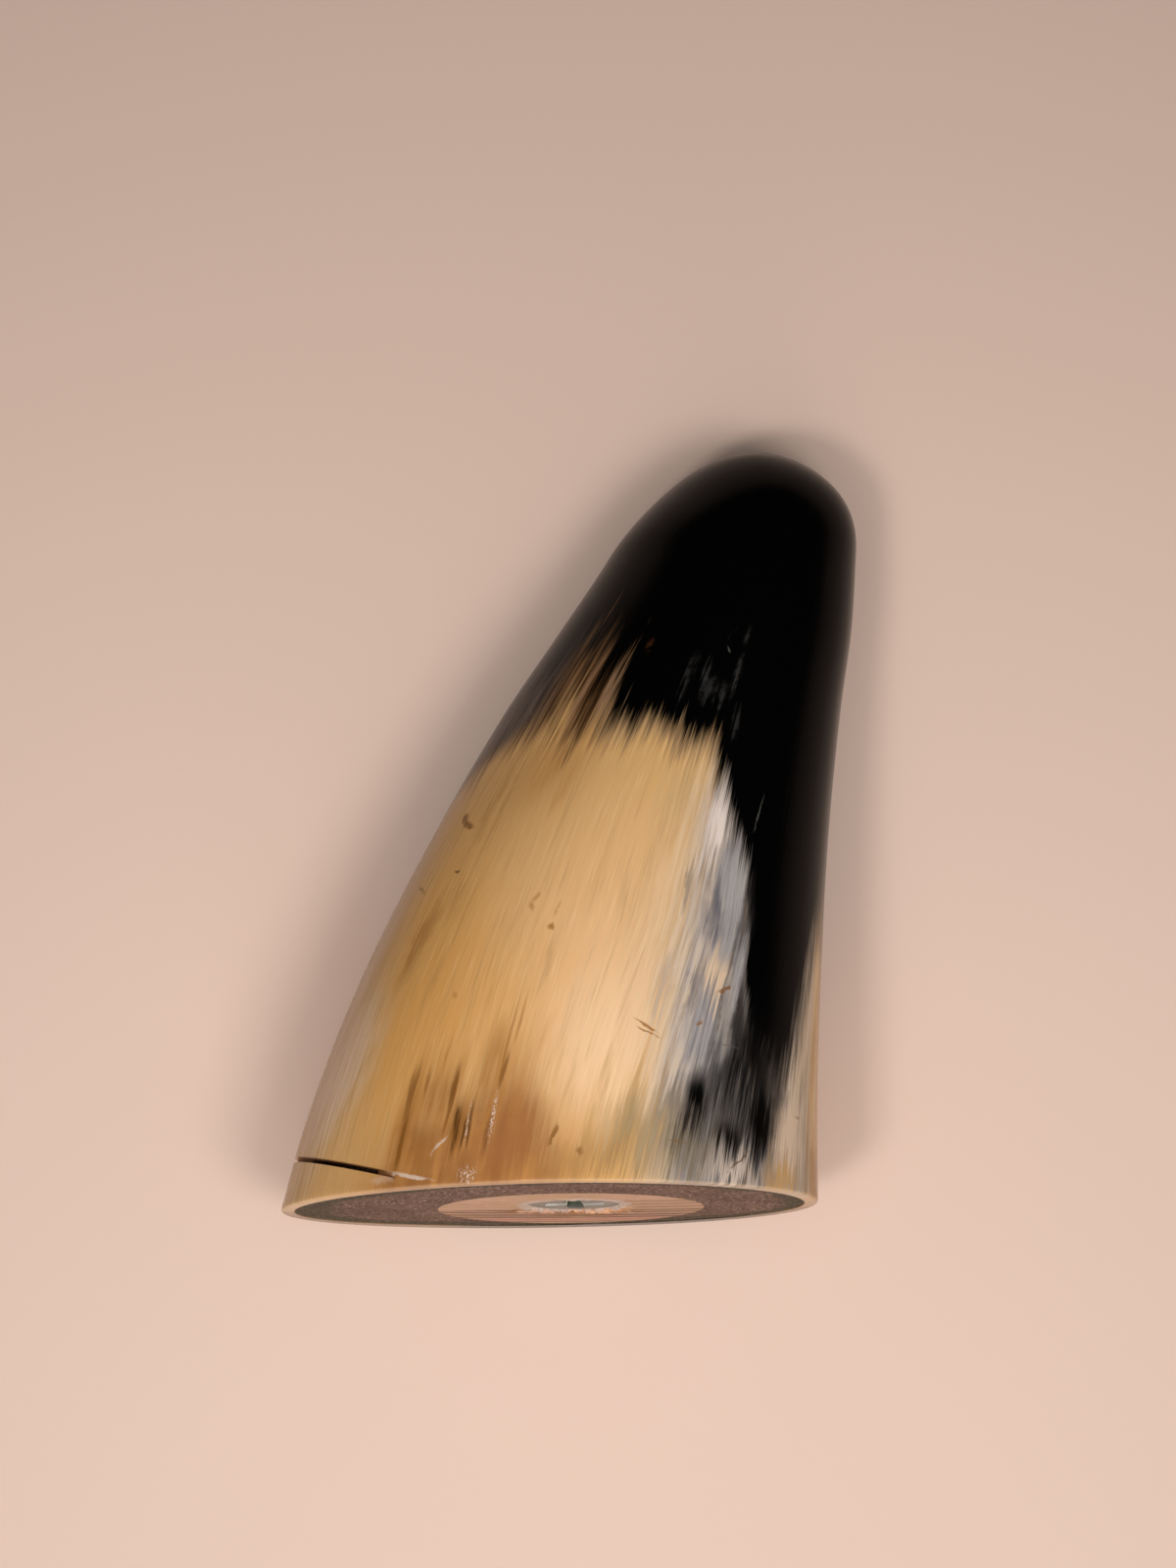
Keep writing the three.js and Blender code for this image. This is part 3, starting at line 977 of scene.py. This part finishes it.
STAIN_EDGE = [
    (0.0, 4), (0.30, 5), (0.44, 5), (0.475, 8), (0.5, 10), (0.52, 13), (0.55, 19), (0.57, 15),
    (0.60, 16), (0.62, 10), (0.65, 7), (0.8, 5), (1.0, 4),
]
stain_edge = turn.curve(STAIN_EDGE, 100)
into_stain = stain_edge + middle.sway(16) + fine.sway(12) - along
stain = into_stain.smoothstep(-4.0, 9.0) * turn.band(0.44, 0.53, 0.6, 0.67)
stain_tone = (clouds * 0.5 + middle * 0.5).ramp([(0.4, (138, 88, 46)), (0.6, (176, 122, 66))])
colour = (stain * 0.9).mix(colour, stain_tone)
DARK_BROWN, BROWN, LIGHT_BROWN = (88, 54, 24), (120, 76, 30), (152, 100, 48)
STAIN_STREAKS = [
    (0.357, 10, 7, 1.1, LIGHT_BROWN, 0.45),
    (0.3575, 14, 3.4, 0.4, BROWN, 0.7, 0.1, 91),
    (0.3565, 8, 4, 0.28, BROWN, 0.85, 0.2, 91),
    (0.3605, 15, 2.2, 0.2, BROWN, 0.5),
    (0.3485, 15, 1.5, 0.2, BROWN, 0.5),
    (0.3415, 13.5, 2.6, 0.5, LIGHT_BROWN, 0.5),
    (0.3395, 17, 3, 0.15, LIGHT_BROWN, 0.5),
    (0.3345, 13, 3, 0.7, LIGHT_BROWN, 0.5),
    (0.3292, 14, 2.6, 0.35, BROWN, 0.9, 0.2),
    (0.3295, 10.5, 2.4, 0.14, BROWN, 0.7, 0.2),
    (0.343, 7, 2.2, 1.5, LIGHT_BROWN, 0.65),
    (0.3095, 17, 4.4, 1.2, LIGHT_BROWN, 0.55),
    (0.285, 8, 5, 2.8, (148, 96, 56), 0.7, 0.3),
    (0.305, 6, 3.4, 4.4, (150, 98, 56), 0.6),
    (0.322, 9.5, 3.2, 0.8, (124, 80, 34), 0.7, 0.2),
    (0.3233, 10.8, 1.4, 0.18, DARK_BROWN, 0.9, 0.3),
    (0.322, 8.8, 2.4, 0.2, DARK_BROWN, 0.9, 0.3, 92),
    (0.3172, 8.5, 2.2, 0.16, DARK_BROWN, 0.9, 0.3, 91),
    (0.3145, 9.5, 2.8, 0.16, DARK_BROWN, 0.8, 0.3),
    (0.3028, 8, 3, 0.3, (104, 60, 32), 0.8, 0.2, 91),
    (0.301, 15.5, 2, 0.28, (128, 84, 40), 0.8, 0.2, 91),
    (0.303, 19, 4.6, 0.16, LIGHT_BROWN, 0.6, 0.1, 91),
    (0.2985, 20.5, 3.6, 0.16, LIGHT_BROWN, 0.65),
]
colour = lay_patches(colour, STAIN_STREAKS, torn, streak_map)

# %% [markdown]
# ## The milky band
# Between the amber and the black the horn is full of fine air gaps, so it looks milky white and
# blue-grey in long streaks, with darker smoke showing through from below. Going round the horn
# the amber loses its colour first and then its light.

# %% Milky band
MILK_TONES = [
    (0.32, (196, 172, 148)), (0.345, (206, 184, 164)), (0.375, (120, 112, 108)),
    (0.398, (110, 104, 102)), (0.412, (164, 156, 152)), (0.425, (148, 142, 142)),
    (0.438, (188, 172, 160)), (0.452, (206, 182, 156)), (0.475, (222, 186, 144)),
]
milky = turn.band(0.29, 0.33, 0.42, 0.50) * along.band(-8, 6, 47, 58)
milky = (milky * 1.7 + middle.sway(1.2) + fine.sway(2.4) - 0.4).smoothstep(0.0, 1.0)
milk = (turn + clouds.sway(0.03) + middle.sway(0.05)).ramp(MILK_TONES)
thread = fine * 0.55 + hair * 0.25 + middle * 0.2
milk_shade = thread.ramp([(0.38, 0.36), (0.46, 0.68), (0.53, 0.95), (0.6, 1.0)])
colour = milky.mix(colour, milk.shaded(milk_shade, 0.8))
MILK_PATCHES = [
    (0.19, 44, 6.5, 1.3, (228, 212, 204), 0.8, 0, 94),
    (0.165, 37, 5, 2.2, (168, 162, 158), 0.5, 0.1, 92),
    (0.18, 33.5, 3.4, 1.2, (88, 86, 92), 0.85, 0.1, 86),
    (0.202, 36, 3.4, 0.5, (122, 108, 98), 0.7, 0.1, 92),
    (0.187, 25, 3.4, 0.7, (104, 96, 94), 0.8, 0.1, 96),
    (0.207, 25, 5, 0.8, (160, 140, 124), 0.5, 0.1, 98),
    (0.171, 26, 3.2, 1.8, (222, 190, 156), 0.8, 0.1, 80),
    (0.157, 21, 2.6, 1.2, (156, 142, 130), 0.6, 0.1, 84),
    (0.166, 21.5, 2.2, 0.25, (96, 76, 62), 0.8, 0.2, 97),
    (0.16, 15.5, 3, 2, (78, 74, 74), 0.8, 0.2, 84),
    (0.145, 20, 4.6, 1.6, (58, 54, 52), 0.8, 0.2, 80),
    (0.205, 8, 5, 5, (144, 122, 88), 0.8),
    (0.19, 12, 3, 1.8, (104, 94, 84), 0.7),
    (0.175, 9, 4, 2.4, (88, 78, 66), 0.7),
    (0.152, 13, 6, 3.6, (62, 57, 55), 0.75),
    (0.236, 5.5, 2.6, 5, (158, 118, 70), 0.6),
    (0.182, 7, 4.4, 2, (106, 94, 74), 0.7, 0.1, 88),
    (0.165, 6, 4, 3, (120, 106, 90), 0.7, 0.1, 88),
    (0.141, 4.6, 2, 3.6, (204, 184, 168), 0.8, 0.2),
    (0.098, 9, 4.6, 2.8, (212, 184, 158), 0.85, 0.3, 96),
    (0.076, 19, 7, 2.4, (204, 178, 150), 0.75, 0.2, 104),
    (0.102, 4, 2.2, 3, (188, 146, 92), 0.85, 0.3),
]
colour = lay_patches(colour, MILK_PATCHES, torn, horn_map)

# %% [markdown]
# ## The black tip
# The pigment of the tip ends in a frayed border. Its distance along the horn is drawn as a curve round the
# horn, and streaks of four widths fray it, least on top. Left of the top the pigment lies deep, so the border
# there is brown and smoky first. Dark islands with smoky halos and black cores are left in the milky band,
# and faint grey streaks along the fibres are painted sheen on the black.

# %% Black tip
BLACK_BORDER = [
    (0.0, 30), (0.10, 28), (0.18, 30), (0.26, 35), (0.305, 33), (0.32, 28.5), (0.335, 22.5),
    (0.345, 18), (0.36, 14.5), (0.375, 15), (0.385, 19.5), (0.395, 26), (0.402, 37), (0.415, 41),
    (0.432, 45), (0.447, 49.5), (0.46, 52.5), (0.50, 54.5), (0.545, 55.5), (0.558, 55), (0.575, 59.5),
    (0.595, 58), (0.61, 62), (0.635, 60), (0.65, 60), (0.68, 58), (0.75, 53), (0.85, 40), (0.93, 33),
    (1.0, 30),
]
FRAY = [(0.0, 0.7), (0.38, 0.5), (0.45, 0.35), (0.55, 0.4), (0.6, 0.7), (0.68, 0.6), (0.8, 0.5), (1.0, 0.7)]
SOFTNESS = [(0.0, 6), (0.3, 7), (0.36, 5), (0.40, 2.2), (0.55, 2.4), (0.6, 4.0), (0.75, 5), (1.0, 6)]
border = turn.curve(BLACK_BORDER, 100)
softness = turn.curve(SOFTNESS, 10)
fray = broad.sway(18) + middle.sway(16) + fine.sway(20) + hair.sway(16)
into_black = along - border - fray * turn.curve(FRAY, 1)
leftward = turn.smoothstep(0.55, 0.585)
deep = leftward * 4
skirt = ((into_black + 2.5) / softness).smoothstep(-1.0, 1.0, 0.55)
colour = skirt.mix(colour, (98, 86, 76))
browned = (into_black + deep).smoothstep(-4.0, 4.0) * leftward
brown_tone = (broad * 0.5 + fine * 0.5).ramp([(0.42, (58, 36, 18)), (0.56, (128, 92, 58))])
colour = (browned * 0.95).mix(colour, brown_tone)
smoky = (along + turn * 60 + fray * 0.3).smoothstep(93, 98) * turn.smoothstep(0.63, 0.66)
smoke_tone = (broad * 0.5 + fine * 0.5).ramp([(0.42, (40, 34, 32)), (0.58, (96, 84, 76))])
colour = (smoky * 0.95).mix(colour, smoke_tone)
SPIKES = [
    (0.353, 60.5, 5, 0.55, (150, 114, 84), 0.85, 0.2),
    (0.329, 60, 5, 0.5, (150, 118, 90), 0.85, 0.2),
    (0.323, 59, 4.4, 0.45, (142, 110, 84), 0.8, 0.2),
    (0.39, 58.5, 4, 0.5, (120, 92, 70), 0.7, 0.1, 92),
    (0.376, 59.5, 4, 0.6, (136, 100, 66), 0.7),
    (0.366, 59, 4, 0.5, (140, 104, 68), 0.6),
]
colour = lay_patches(colour, SPIKES, torn, streak_map)
black = ((into_black - deep) / softness).smoothstep(-1.0, 1.0)
colour = black.mix(colour, (3, 3, 3))
HALOS = [
    (0.174, 12.3, 4.4, 2.2, (54, 48, 45), 0.75, 0, 88),
    (0.152, 9, 3.2, 2.4, (58, 51, 47), 0.75, 0),
    (0.125, 11, 7, 3, (50, 45, 42), 0.75, 0),
    (0.136, 16, 6.5, 4.4, (15, 13, 12), 0.95, 0.15, 84),
    (0.148, 34, 2.8, 0.8, (22, 20, 19), 0.8, 0.2),
    (0.1505, 22, 3.4, 0.4, (52, 46, 43), 0.85, 0.2, 82),
]
colour = lay_patches(colour, HALOS, torn, horn_map)
CORES = [
    (0.175, 12.4, 3.2, 1.2, (8, 7, 6), 1, 0.15, 86),
    (0.1785, 10, 2, 0.9, (34, 29, 26), 0.8, 0, 80),
    (0.15, 8.2, 1.8, 1.2, (14, 10, 8), 1),
    (0.156, 8.4, 1.4, 1, (22, 16, 12), 0.95, 0),
    (0.1245, 10, 4.6, 2.1, (8, 7, 6), 1, 0.2, 92),
    (0.118, 8.6, 3, 1, (14, 10, 8), 0.9, 0),
]
colour = lay_patches(colour, CORES, torn, streak_map)
# Painted sheen: faint grey streaks along the fibres on the black stand for its soft reflection.
SHEEN_GREY = (70, 67, 64)
PAINTED_SHEEN = [
    (0.257, 61, 3, 1.1, SHEEN_GREY, 0.3, 0),
    (0.238, 61, 2.6, 0.6, SHEEN_GREY, 0.5, 0, 82),
    (0.2075, 61, 2.8, 0.6, SHEEN_GREY, 0.5, 0),
    (0.228, 59.5, 1.6, 1, SHEEN_GREY, 0.35, 0),
    (0.216, 58.8, 1.6, 1, SHEEN_GREY, 0.35, 0),
    (0.225, 65.6, 1.8, 0.6, SHEEN_GREY, 0.35, 0),
    (0.211, 66.3, 1.4, 0.5, SHEEN_GREY, 0.3, 0),
    (0.195, 56, 2.2, 0.6, SHEEN_GREY, 0.35, 0, 84),
]
sheen_threads = fine.smoothstep(0.40, 0.56)
colour = lay_patches(colour, PAINTED_SHEEN, blotchy * torn * sheen_threads, streak_map)

# %% [markdown]
# ## Scratches, flakes and smears
# The last layer is wear. The sawn face of the wall is paler than the side above on its upper half, and darker
# on its lower half, darkest underneath. Then come brown smears of old glue, cracks at the sawn end whose lips
# have flaked white, and fine light scratches in the black.

# %% Marks
SMEAR, FLAKE, PALE = (116, 76, 34), (214, 192, 174), (92, 88, 82)
MARKS = [
    (0.417, 46, 1, 0.5, SMEAR, 0.8, 0.3, 32),
    (0.408, 45, 1.4, 0.4, SMEAR, 0.8, 0.3, 20),
    (0.435, 66.3, 2.4, 0.35, (12, 10, 8), 0.9, 0.2, 0),
    (0.392, 39.2, 0.5, 0.2, (84, 54, 24), 0.9, 0.3, 10),
    (0.428, 37.8, 1.6, 0.25, SMEAR, 0.6, 0.2, 24),
    (0.296, 31.3, 0.4, 0.4, (150, 100, 42), 0.8, 0.3, 0),
    (0.2955, 33.3, 0.9, 0.2, (160, 112, 54), 0.5, 0.2, 100),
    (0.3145, 34.6, 0.9, 0.3, (160, 112, 54), 0.5, 0.2, 110),
    (0.3135, 33.6, 0.7, 0.25, (160, 112, 54), 0.5, 0.2, 60),
    (0.348, 24.2, 0.6, 0.25, (150, 104, 50), 0.4, 0.1, 60),
    (0.214, 20, 1.5, 0.14, (150, 98, 44), 0.85, 0.3, 32),
    (0.212, 19.3, 1.3, 0.12, (150, 98, 44), 0.75, 0.3, 26),
    (0.178, 20.5, 0.5, 0.16, (130, 88, 48), 0.8, 0.3, -30),
    (0.163, 24.4, 1.1, 0.18, (120, 80, 44), 0.85, 0.3, -36),
    (0.154, 18.2, 1.2, 0.1, (90, 80, 72), 0.6, 0.2, 12),
    (0.141, 5.8, 2, 0.1, (92, 72, 50), 0.85, 0.3, -43),
    (0.184, 7.4, 1, 0.12, (120, 84, 46), 0.6, 0.2, 10),
    (0.264, 8, 1.3, 0.2, (124, 80, 36), 0.8, 0.2, 100),
    (0.2445, 6.3, 0.45, 0.4, (128, 84, 40), 0.7, 0.2),
    (0.331, 7.5, 1.1, 0.2, FLAKE, 0.6, 0.2, 122),
    (0.349, 4.5, 2.6, 0.2, FLAKE, 0.7, 0.3, 15),
    (0.364, 4.3, 0.5, 1.4, (206, 176, 152), 0.4),
    (0.155, 44.8, 2.2, 0.12, PALE, 0.6, 0.2, 97),
    (0.224, 64.3, 0.5, 0.1, PALE, 0.8, 0.3, 42),
    (0.407, 58.7, 0.7, 0.1, PALE, 0.8, 0.3, 35),
    (0.31, 65.3, 0.9, 0.5, (92, 52, 26), 0.35, 0.1, 80),
    (0.083, 11.4, 0.5, 0.15, (132, 100, 68), 0.6, 0.3, 5),
]
SAWN_AT = 3.04
sawn = (along - SAWN_AT).smoothstep(0.4, 0.05)
rounded_edge = (along - SAWN_AT).smoothstep(1.0, 0.4)
upper_half = turn.band(0.20, 0.28, 0.72, 0.80)
near_underside = turn.smoothstep(0.22, 0.12) + turn.smoothstep(0.92, 0.97)
colour = (sawn * upper_half * 0.3).mix(colour, (224, 192, 158))
# The rim's rounded edge is darker on its lower half and darkest underneath.
colour = (rounded_edge * (1 - upper_half) * 0.8).mix(colour, (112, 84, 58))
colour = (rounded_edge * near_underside * (0.65 + middle * 0.5)).mix(colour, (50, 45, 32))
colour = lay_patches(colour, MARKS, blotchy, crisp_map)
FLAKED = [(0.3015, 10, 3, 0.2), (0.3157, 9.6, 2.4, 0.12), (0.31, 4, 0.8, 0.8)]
speckle = noise_at(vector(across * 4, along * 1.8), 1.6, 4.0, 0.5)
for turns, distance, length, width in FLAKED:
    flaked = patch(on_horn(turns, distance), length, width, torn, streak_map, 0.75, 0.3)
    colour = (flaked * speckle.smoothstep(0.44, 0.58)).mix(colour, FLAKE)

ridges = (fine * 0.6 + hair * 0.4).bump(0.3, 0.06 * MM)
gloss = 0.15 + fine.sway(0.12)
finish_piece(horn, horn_finish, "horn", Base_Color=colour, Roughness=gloss, IOR=1.13, Normal=ridges)

# %% [markdown]
# ## The filling's finish
# Glue darkened the wood flour to a warm brown, and sanding left pale grains and dark pores. Near the wall the
# filling is a dull olive band, widest underneath and at both ends of the oval.

# %% Filling finish
filling_finish, shader, start = new_finish("wood_flour_filling")
place = own_place()
gap = stored("from_wall")
grains = noise_at(place, 2600.0, 3.0, 0.7)
patches_of_dust = noise_at(place, 500.0)
drifts = noise_at(place, 120.0)
GRAIN_TONES = [(0.34, (54, 39, 31)), (0.45, (95, 68, 55)), (0.55, (118, 89, 75)), (0.65, (188, 161, 146))]
brown = grains.ramp(GRAIN_TONES)
brown = patches_of_dust.smoothstep(0.42, 0.66, 0.5).mix(brown, (126, 96, 78))
brown = drifts.smoothstep(0.45, 0.65, 0.4).mix(brown, (78, 54, 42))
height = place.part(2) / MM
sideways = place.part(0) / MM
at_ends = (sideways * sideways).smoothstep(400, 800)
band_width = height.smoothstep(16, 4) * 2.5 + at_ends * 2.0 + 2.0 + drifts.sway(4)
# A dull olive band along the wall, wider underneath and at both ends.
olive = (gap / band_width).smoothstep(1.3, 0.5, 0.92)
olive_tone = grains.ramp([(0.35, (46, 39, 29)), (0.5, (73, 64, 48)), (0.65, (112, 100, 78))])
brown = olive.mix(brown, olive_tone)
grit_bump = grains.bump(0.7, 0.1 * MM)
finish_piece(filling, filling_finish, "filler", Base_Color=brown, Roughness=0.78, IOR=1.35, Normal=grit_bump)

# %% [markdown]
# ## The dowel's finish
# Sanded pine end grain: pale bands of summer wood with a darker winter line between them, pink in
# places, and less clear above the screw. Crushed wood round the head is pale and dusty, freshly
# torn wood is peach coloured, and the bruise under it is brown.

# %% Pine finish
pine_finish, shader, start = new_finish("pine_end_grain")
place = own_place()
offset = place.minus(face_point(*DOWEL_MIDDLE))
sideways, upward = offset.part(0) / MM, offset.dot(FACE_UP) / MM
waves = noise_at(place, 150.0, 2.0)
dust = noise_at(place, 900.0, 3.0, 0.6)
pores = noise_at(place, 3800.0, 2.0)
crossing = ring_height(sideways, upward) + waves.sway(1.6)
WINTER_RANGE = 15.0
LINE_SHAPE = ((-1.0, 0.0), (0.1, 1.0), (1.2, 0.1))
line_stops = [
    ((line + beside + WINTER_RANGE) / (2 * WINTER_RANGE), strong * share)
    for line, strong in WINTER_LINES
    for beside, share in LINE_SHAPE
]
winter = (crossing / (2 * WINTER_RANGE) + 0.5).ramp(line_stops)
winter = winter * (1 - upward.smoothstep(-0.5, 0.5) * sideways.smoothstep(3.0, -2.0, 0.8))
summer = waves.ramp([(0.4, (206, 164, 138)), (0.6, (198, 158, 126))])
pine = winter.mix(summer, (96, 58, 40))
pink = upward.band(-13.5, -11, -9.6, -8.6) * 0.6
pine = pink.mix(pine, (206, 148, 126))
to_screw = [s - d for s, d in zip(SCREW_MIDDLE, DOWEL_MIDDLE)]
from_head = vector(sideways - to_screw[0], upward - to_screw[1])
from_head = start.node("ShaderNodeVectorMath", {0: from_head}, 1, operation="LENGTH")
from_head = from_head + dust.sway(2.0) + waves.sway(1.6)
crushed = from_head.band(4.6, 5.2, 6.0, 7.0)
pine = (crushed * 0.75).mix(pine, (196, 178, 168))
bruised = from_head.band(7.2, 8.2, 9.0, 11.0) * upward.smoothstep(0.5, -2.5)
pine = (bruised * 0.55).mix(pine, (140, 96, 54))
face_map = vector(sideways + dust.sway(2.4), upward + dust.sway(2.4))
ragged = dust.sway(2.4) + 1
PINE_PATCHES = [
    (3.6, -3, 3, 1.9, (240, 184, 140), 0.9, 0.3, 20),
    (0.6, -2.4, 1.2, 1.4, (226, 164, 124), 0.8, 0.2),
    (-3.6, -2.4, 2.6, 1.5, (232, 182, 156), 0.7, 0.3, -20),
    (0, -4.6, 2.2, 0.8, (168, 112, 66), 0.8, 0.2, 0),
    (-6.9, -2.6, 0.7, 1.6, (150, 104, 58), 0.7, 0.2, 0),
    (5.8, -3.4, 0.7, 0.9, (160, 104, 58), 0.7, 0.2, 0),
    (6.4, 0.5, 0.8, 2.6, (226, 178, 140), 0.5, 0.2, 0),
    (1.2, -7.2, 5.4, 0.7, (142, 100, 58), 0.7, 0.2, 3),
]
pine = lay_patches(pine, PINE_PATCHES, ragged, face_map, lambda x, up: (x, up))
pore_tone = (pores * 0.6 + dust * 0.4).ramp([(0.36, 0.6), (0.5, 1.0), (0.6, 1.0)])
pine = pine.shaded(pore_tone, 0.5)
grain_bump = (dust + pores).bump(0.5, 0.1 * MM)
finish_piece(dowel, pine_finish, "pine", Base_Color=pine, Roughness=0.72, IOR=1.35, Normal=grain_bump)

# %% [markdown]
# ## The screw's finish
# Zinc-plated steel, dulled by the sander on its face. The recess is painted dark as the shade inside it, and
# the ends of its level arms are painted bright as glints.

# %% Zinc finish
zinc_finish, shader, start = new_finish("zinc_plated_steel")
place = own_place()
wear = noise_at(place, 1400.0)
stains = noise_at(place, 420.0)
inside = (place.minus(FACE_ZERO).dot(FACE_IN) / MM).smoothstep(0.35, 0.6)
zinc = stains.ramp([(0.35, (122, 121, 112)), (0.65, (152, 150, 142))])
# Painted glints and shade: the ends of the recess's level arms are painted near white as glints, and the rest
# of the recess is painted dark as its shade.
along_arm = (place.minus(face_point(*SCREW_MIDDLE)).part(0) / MM).maths("ABSOLUTE")
painted_glints = along_arm.smoothstep(1.9, 2.5)
zinc = inside.mix(zinc, painted_glints.mix((92, 98, 82), (240, 240, 226)))
metal = 0.7 - inside * 0.25
dull = 0.46 - inside * 0.16 + wear.sway(0.2)
finish_piece(screw, zinc_finish, "screw_metal", Base_Color=zinc, Metallic=metal, Roughness=dull)

# %% [markdown]
# ## Floor, light and camera
# A plain pale floor, four soft round lamps and an even pale surround show the horn without hard
# highlights; only the key lamp is mirrored in the polish. The camera looks down almost upright,
# a little from the base's side.

# %% Floor
nothing_selected()
FLOOR_SIZE, FLOOR_DROP = 6, 0.1 * MM
bpy.ops.mesh.primitive_plane_add(size=FLOOR_SIZE, location=(0, 0, -FLOOR_DROP))
floor = bpy.context.object
floor.name = "floor"
floor_finish, shader, _ = new_finish("pale_floor")
connect(shader, "Base Color", paint((222, 194, 178)))
connect(shader, "Roughness", 0.7)
floor.data.materials.append(floor_finish)

# %% Light
world = bpy.data.worlds.new("pale_room")
bpy.context.scene.world = world
world.use_nodes = True
background = world.node_tree.nodes["Background"]
connect(background, "Color", (1.0, 0.97, 0.95, 1))
connect(background, "Strength", 0.08)
world.cycles_visibility.glossy = False


def soft_light(name, place, size, power, in_reflections):
    """A round lamp facing the middle of the horn."""
    lamp = bpy.data.lights.new(name, "AREA")
    lamp.shape = "DISK"
    lamp.size = size
    lamp.energy = power
    lamp.color = (1.0, 0.98, 0.96)
    holder = bpy.data.objects.new(name, lamp)
    bpy.context.scene.collection.objects.link(holder)
    holder.location = place
    holder.rotation_euler = (-Vector(place)).to_track_quat("-Z", "Y").to_euler()
    holder.visible_glossy = in_reflections


soft_light("overhead", (0.0, -0.14, 0.42), 0.5, 0.9, False)
soft_light("key", (-0.09, -0.115, 0.32), 0.06, 0.34, True)
soft_light("right", (0.092, -0.115, 0.32), 0.11, 0.39, False)
soft_light("front", (0.03, -0.45, 0.25), 0.3, 0.33, False)

# %% Camera
CAMERA_PLACE = row_point(5.2, 13.45, 288.5)
CAMERA_PITCH, CAMERA_ROLL = math.radians(8.0), math.radians(-0.7)
camera = bpy.data.objects.new("camera", bpy.data.cameras.new("camera"))
bpy.context.scene.collection.objects.link(camera)
camera.data.lens = 54.0
camera.data.sensor_width = 36.0
camera.data.clip_start = 0.01
camera.matrix_world = (
    Matrix.Translation(CAMERA_PLACE)
    @ Matrix.Rotation(CAMERA_PITCH, 4, "X")
    @ Matrix.Rotation(CAMERA_ROLL, 4, "Z")
)
bpy.context.scene.camera = camera
bpy.context.scene.view_settings.view_transform = "Standard"

# %% [markdown]
# ## Every piece on its body
# The object has one body, so all pieces ride on it, and each new piece stands for its node of the imported
# model.

# %% Ride and replace
for piece, node in ((horn, "horn"), (filling, "filler"), (dowel, "wood_core"), (screw, "screw")):
    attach(piece, "root")
    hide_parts(node)
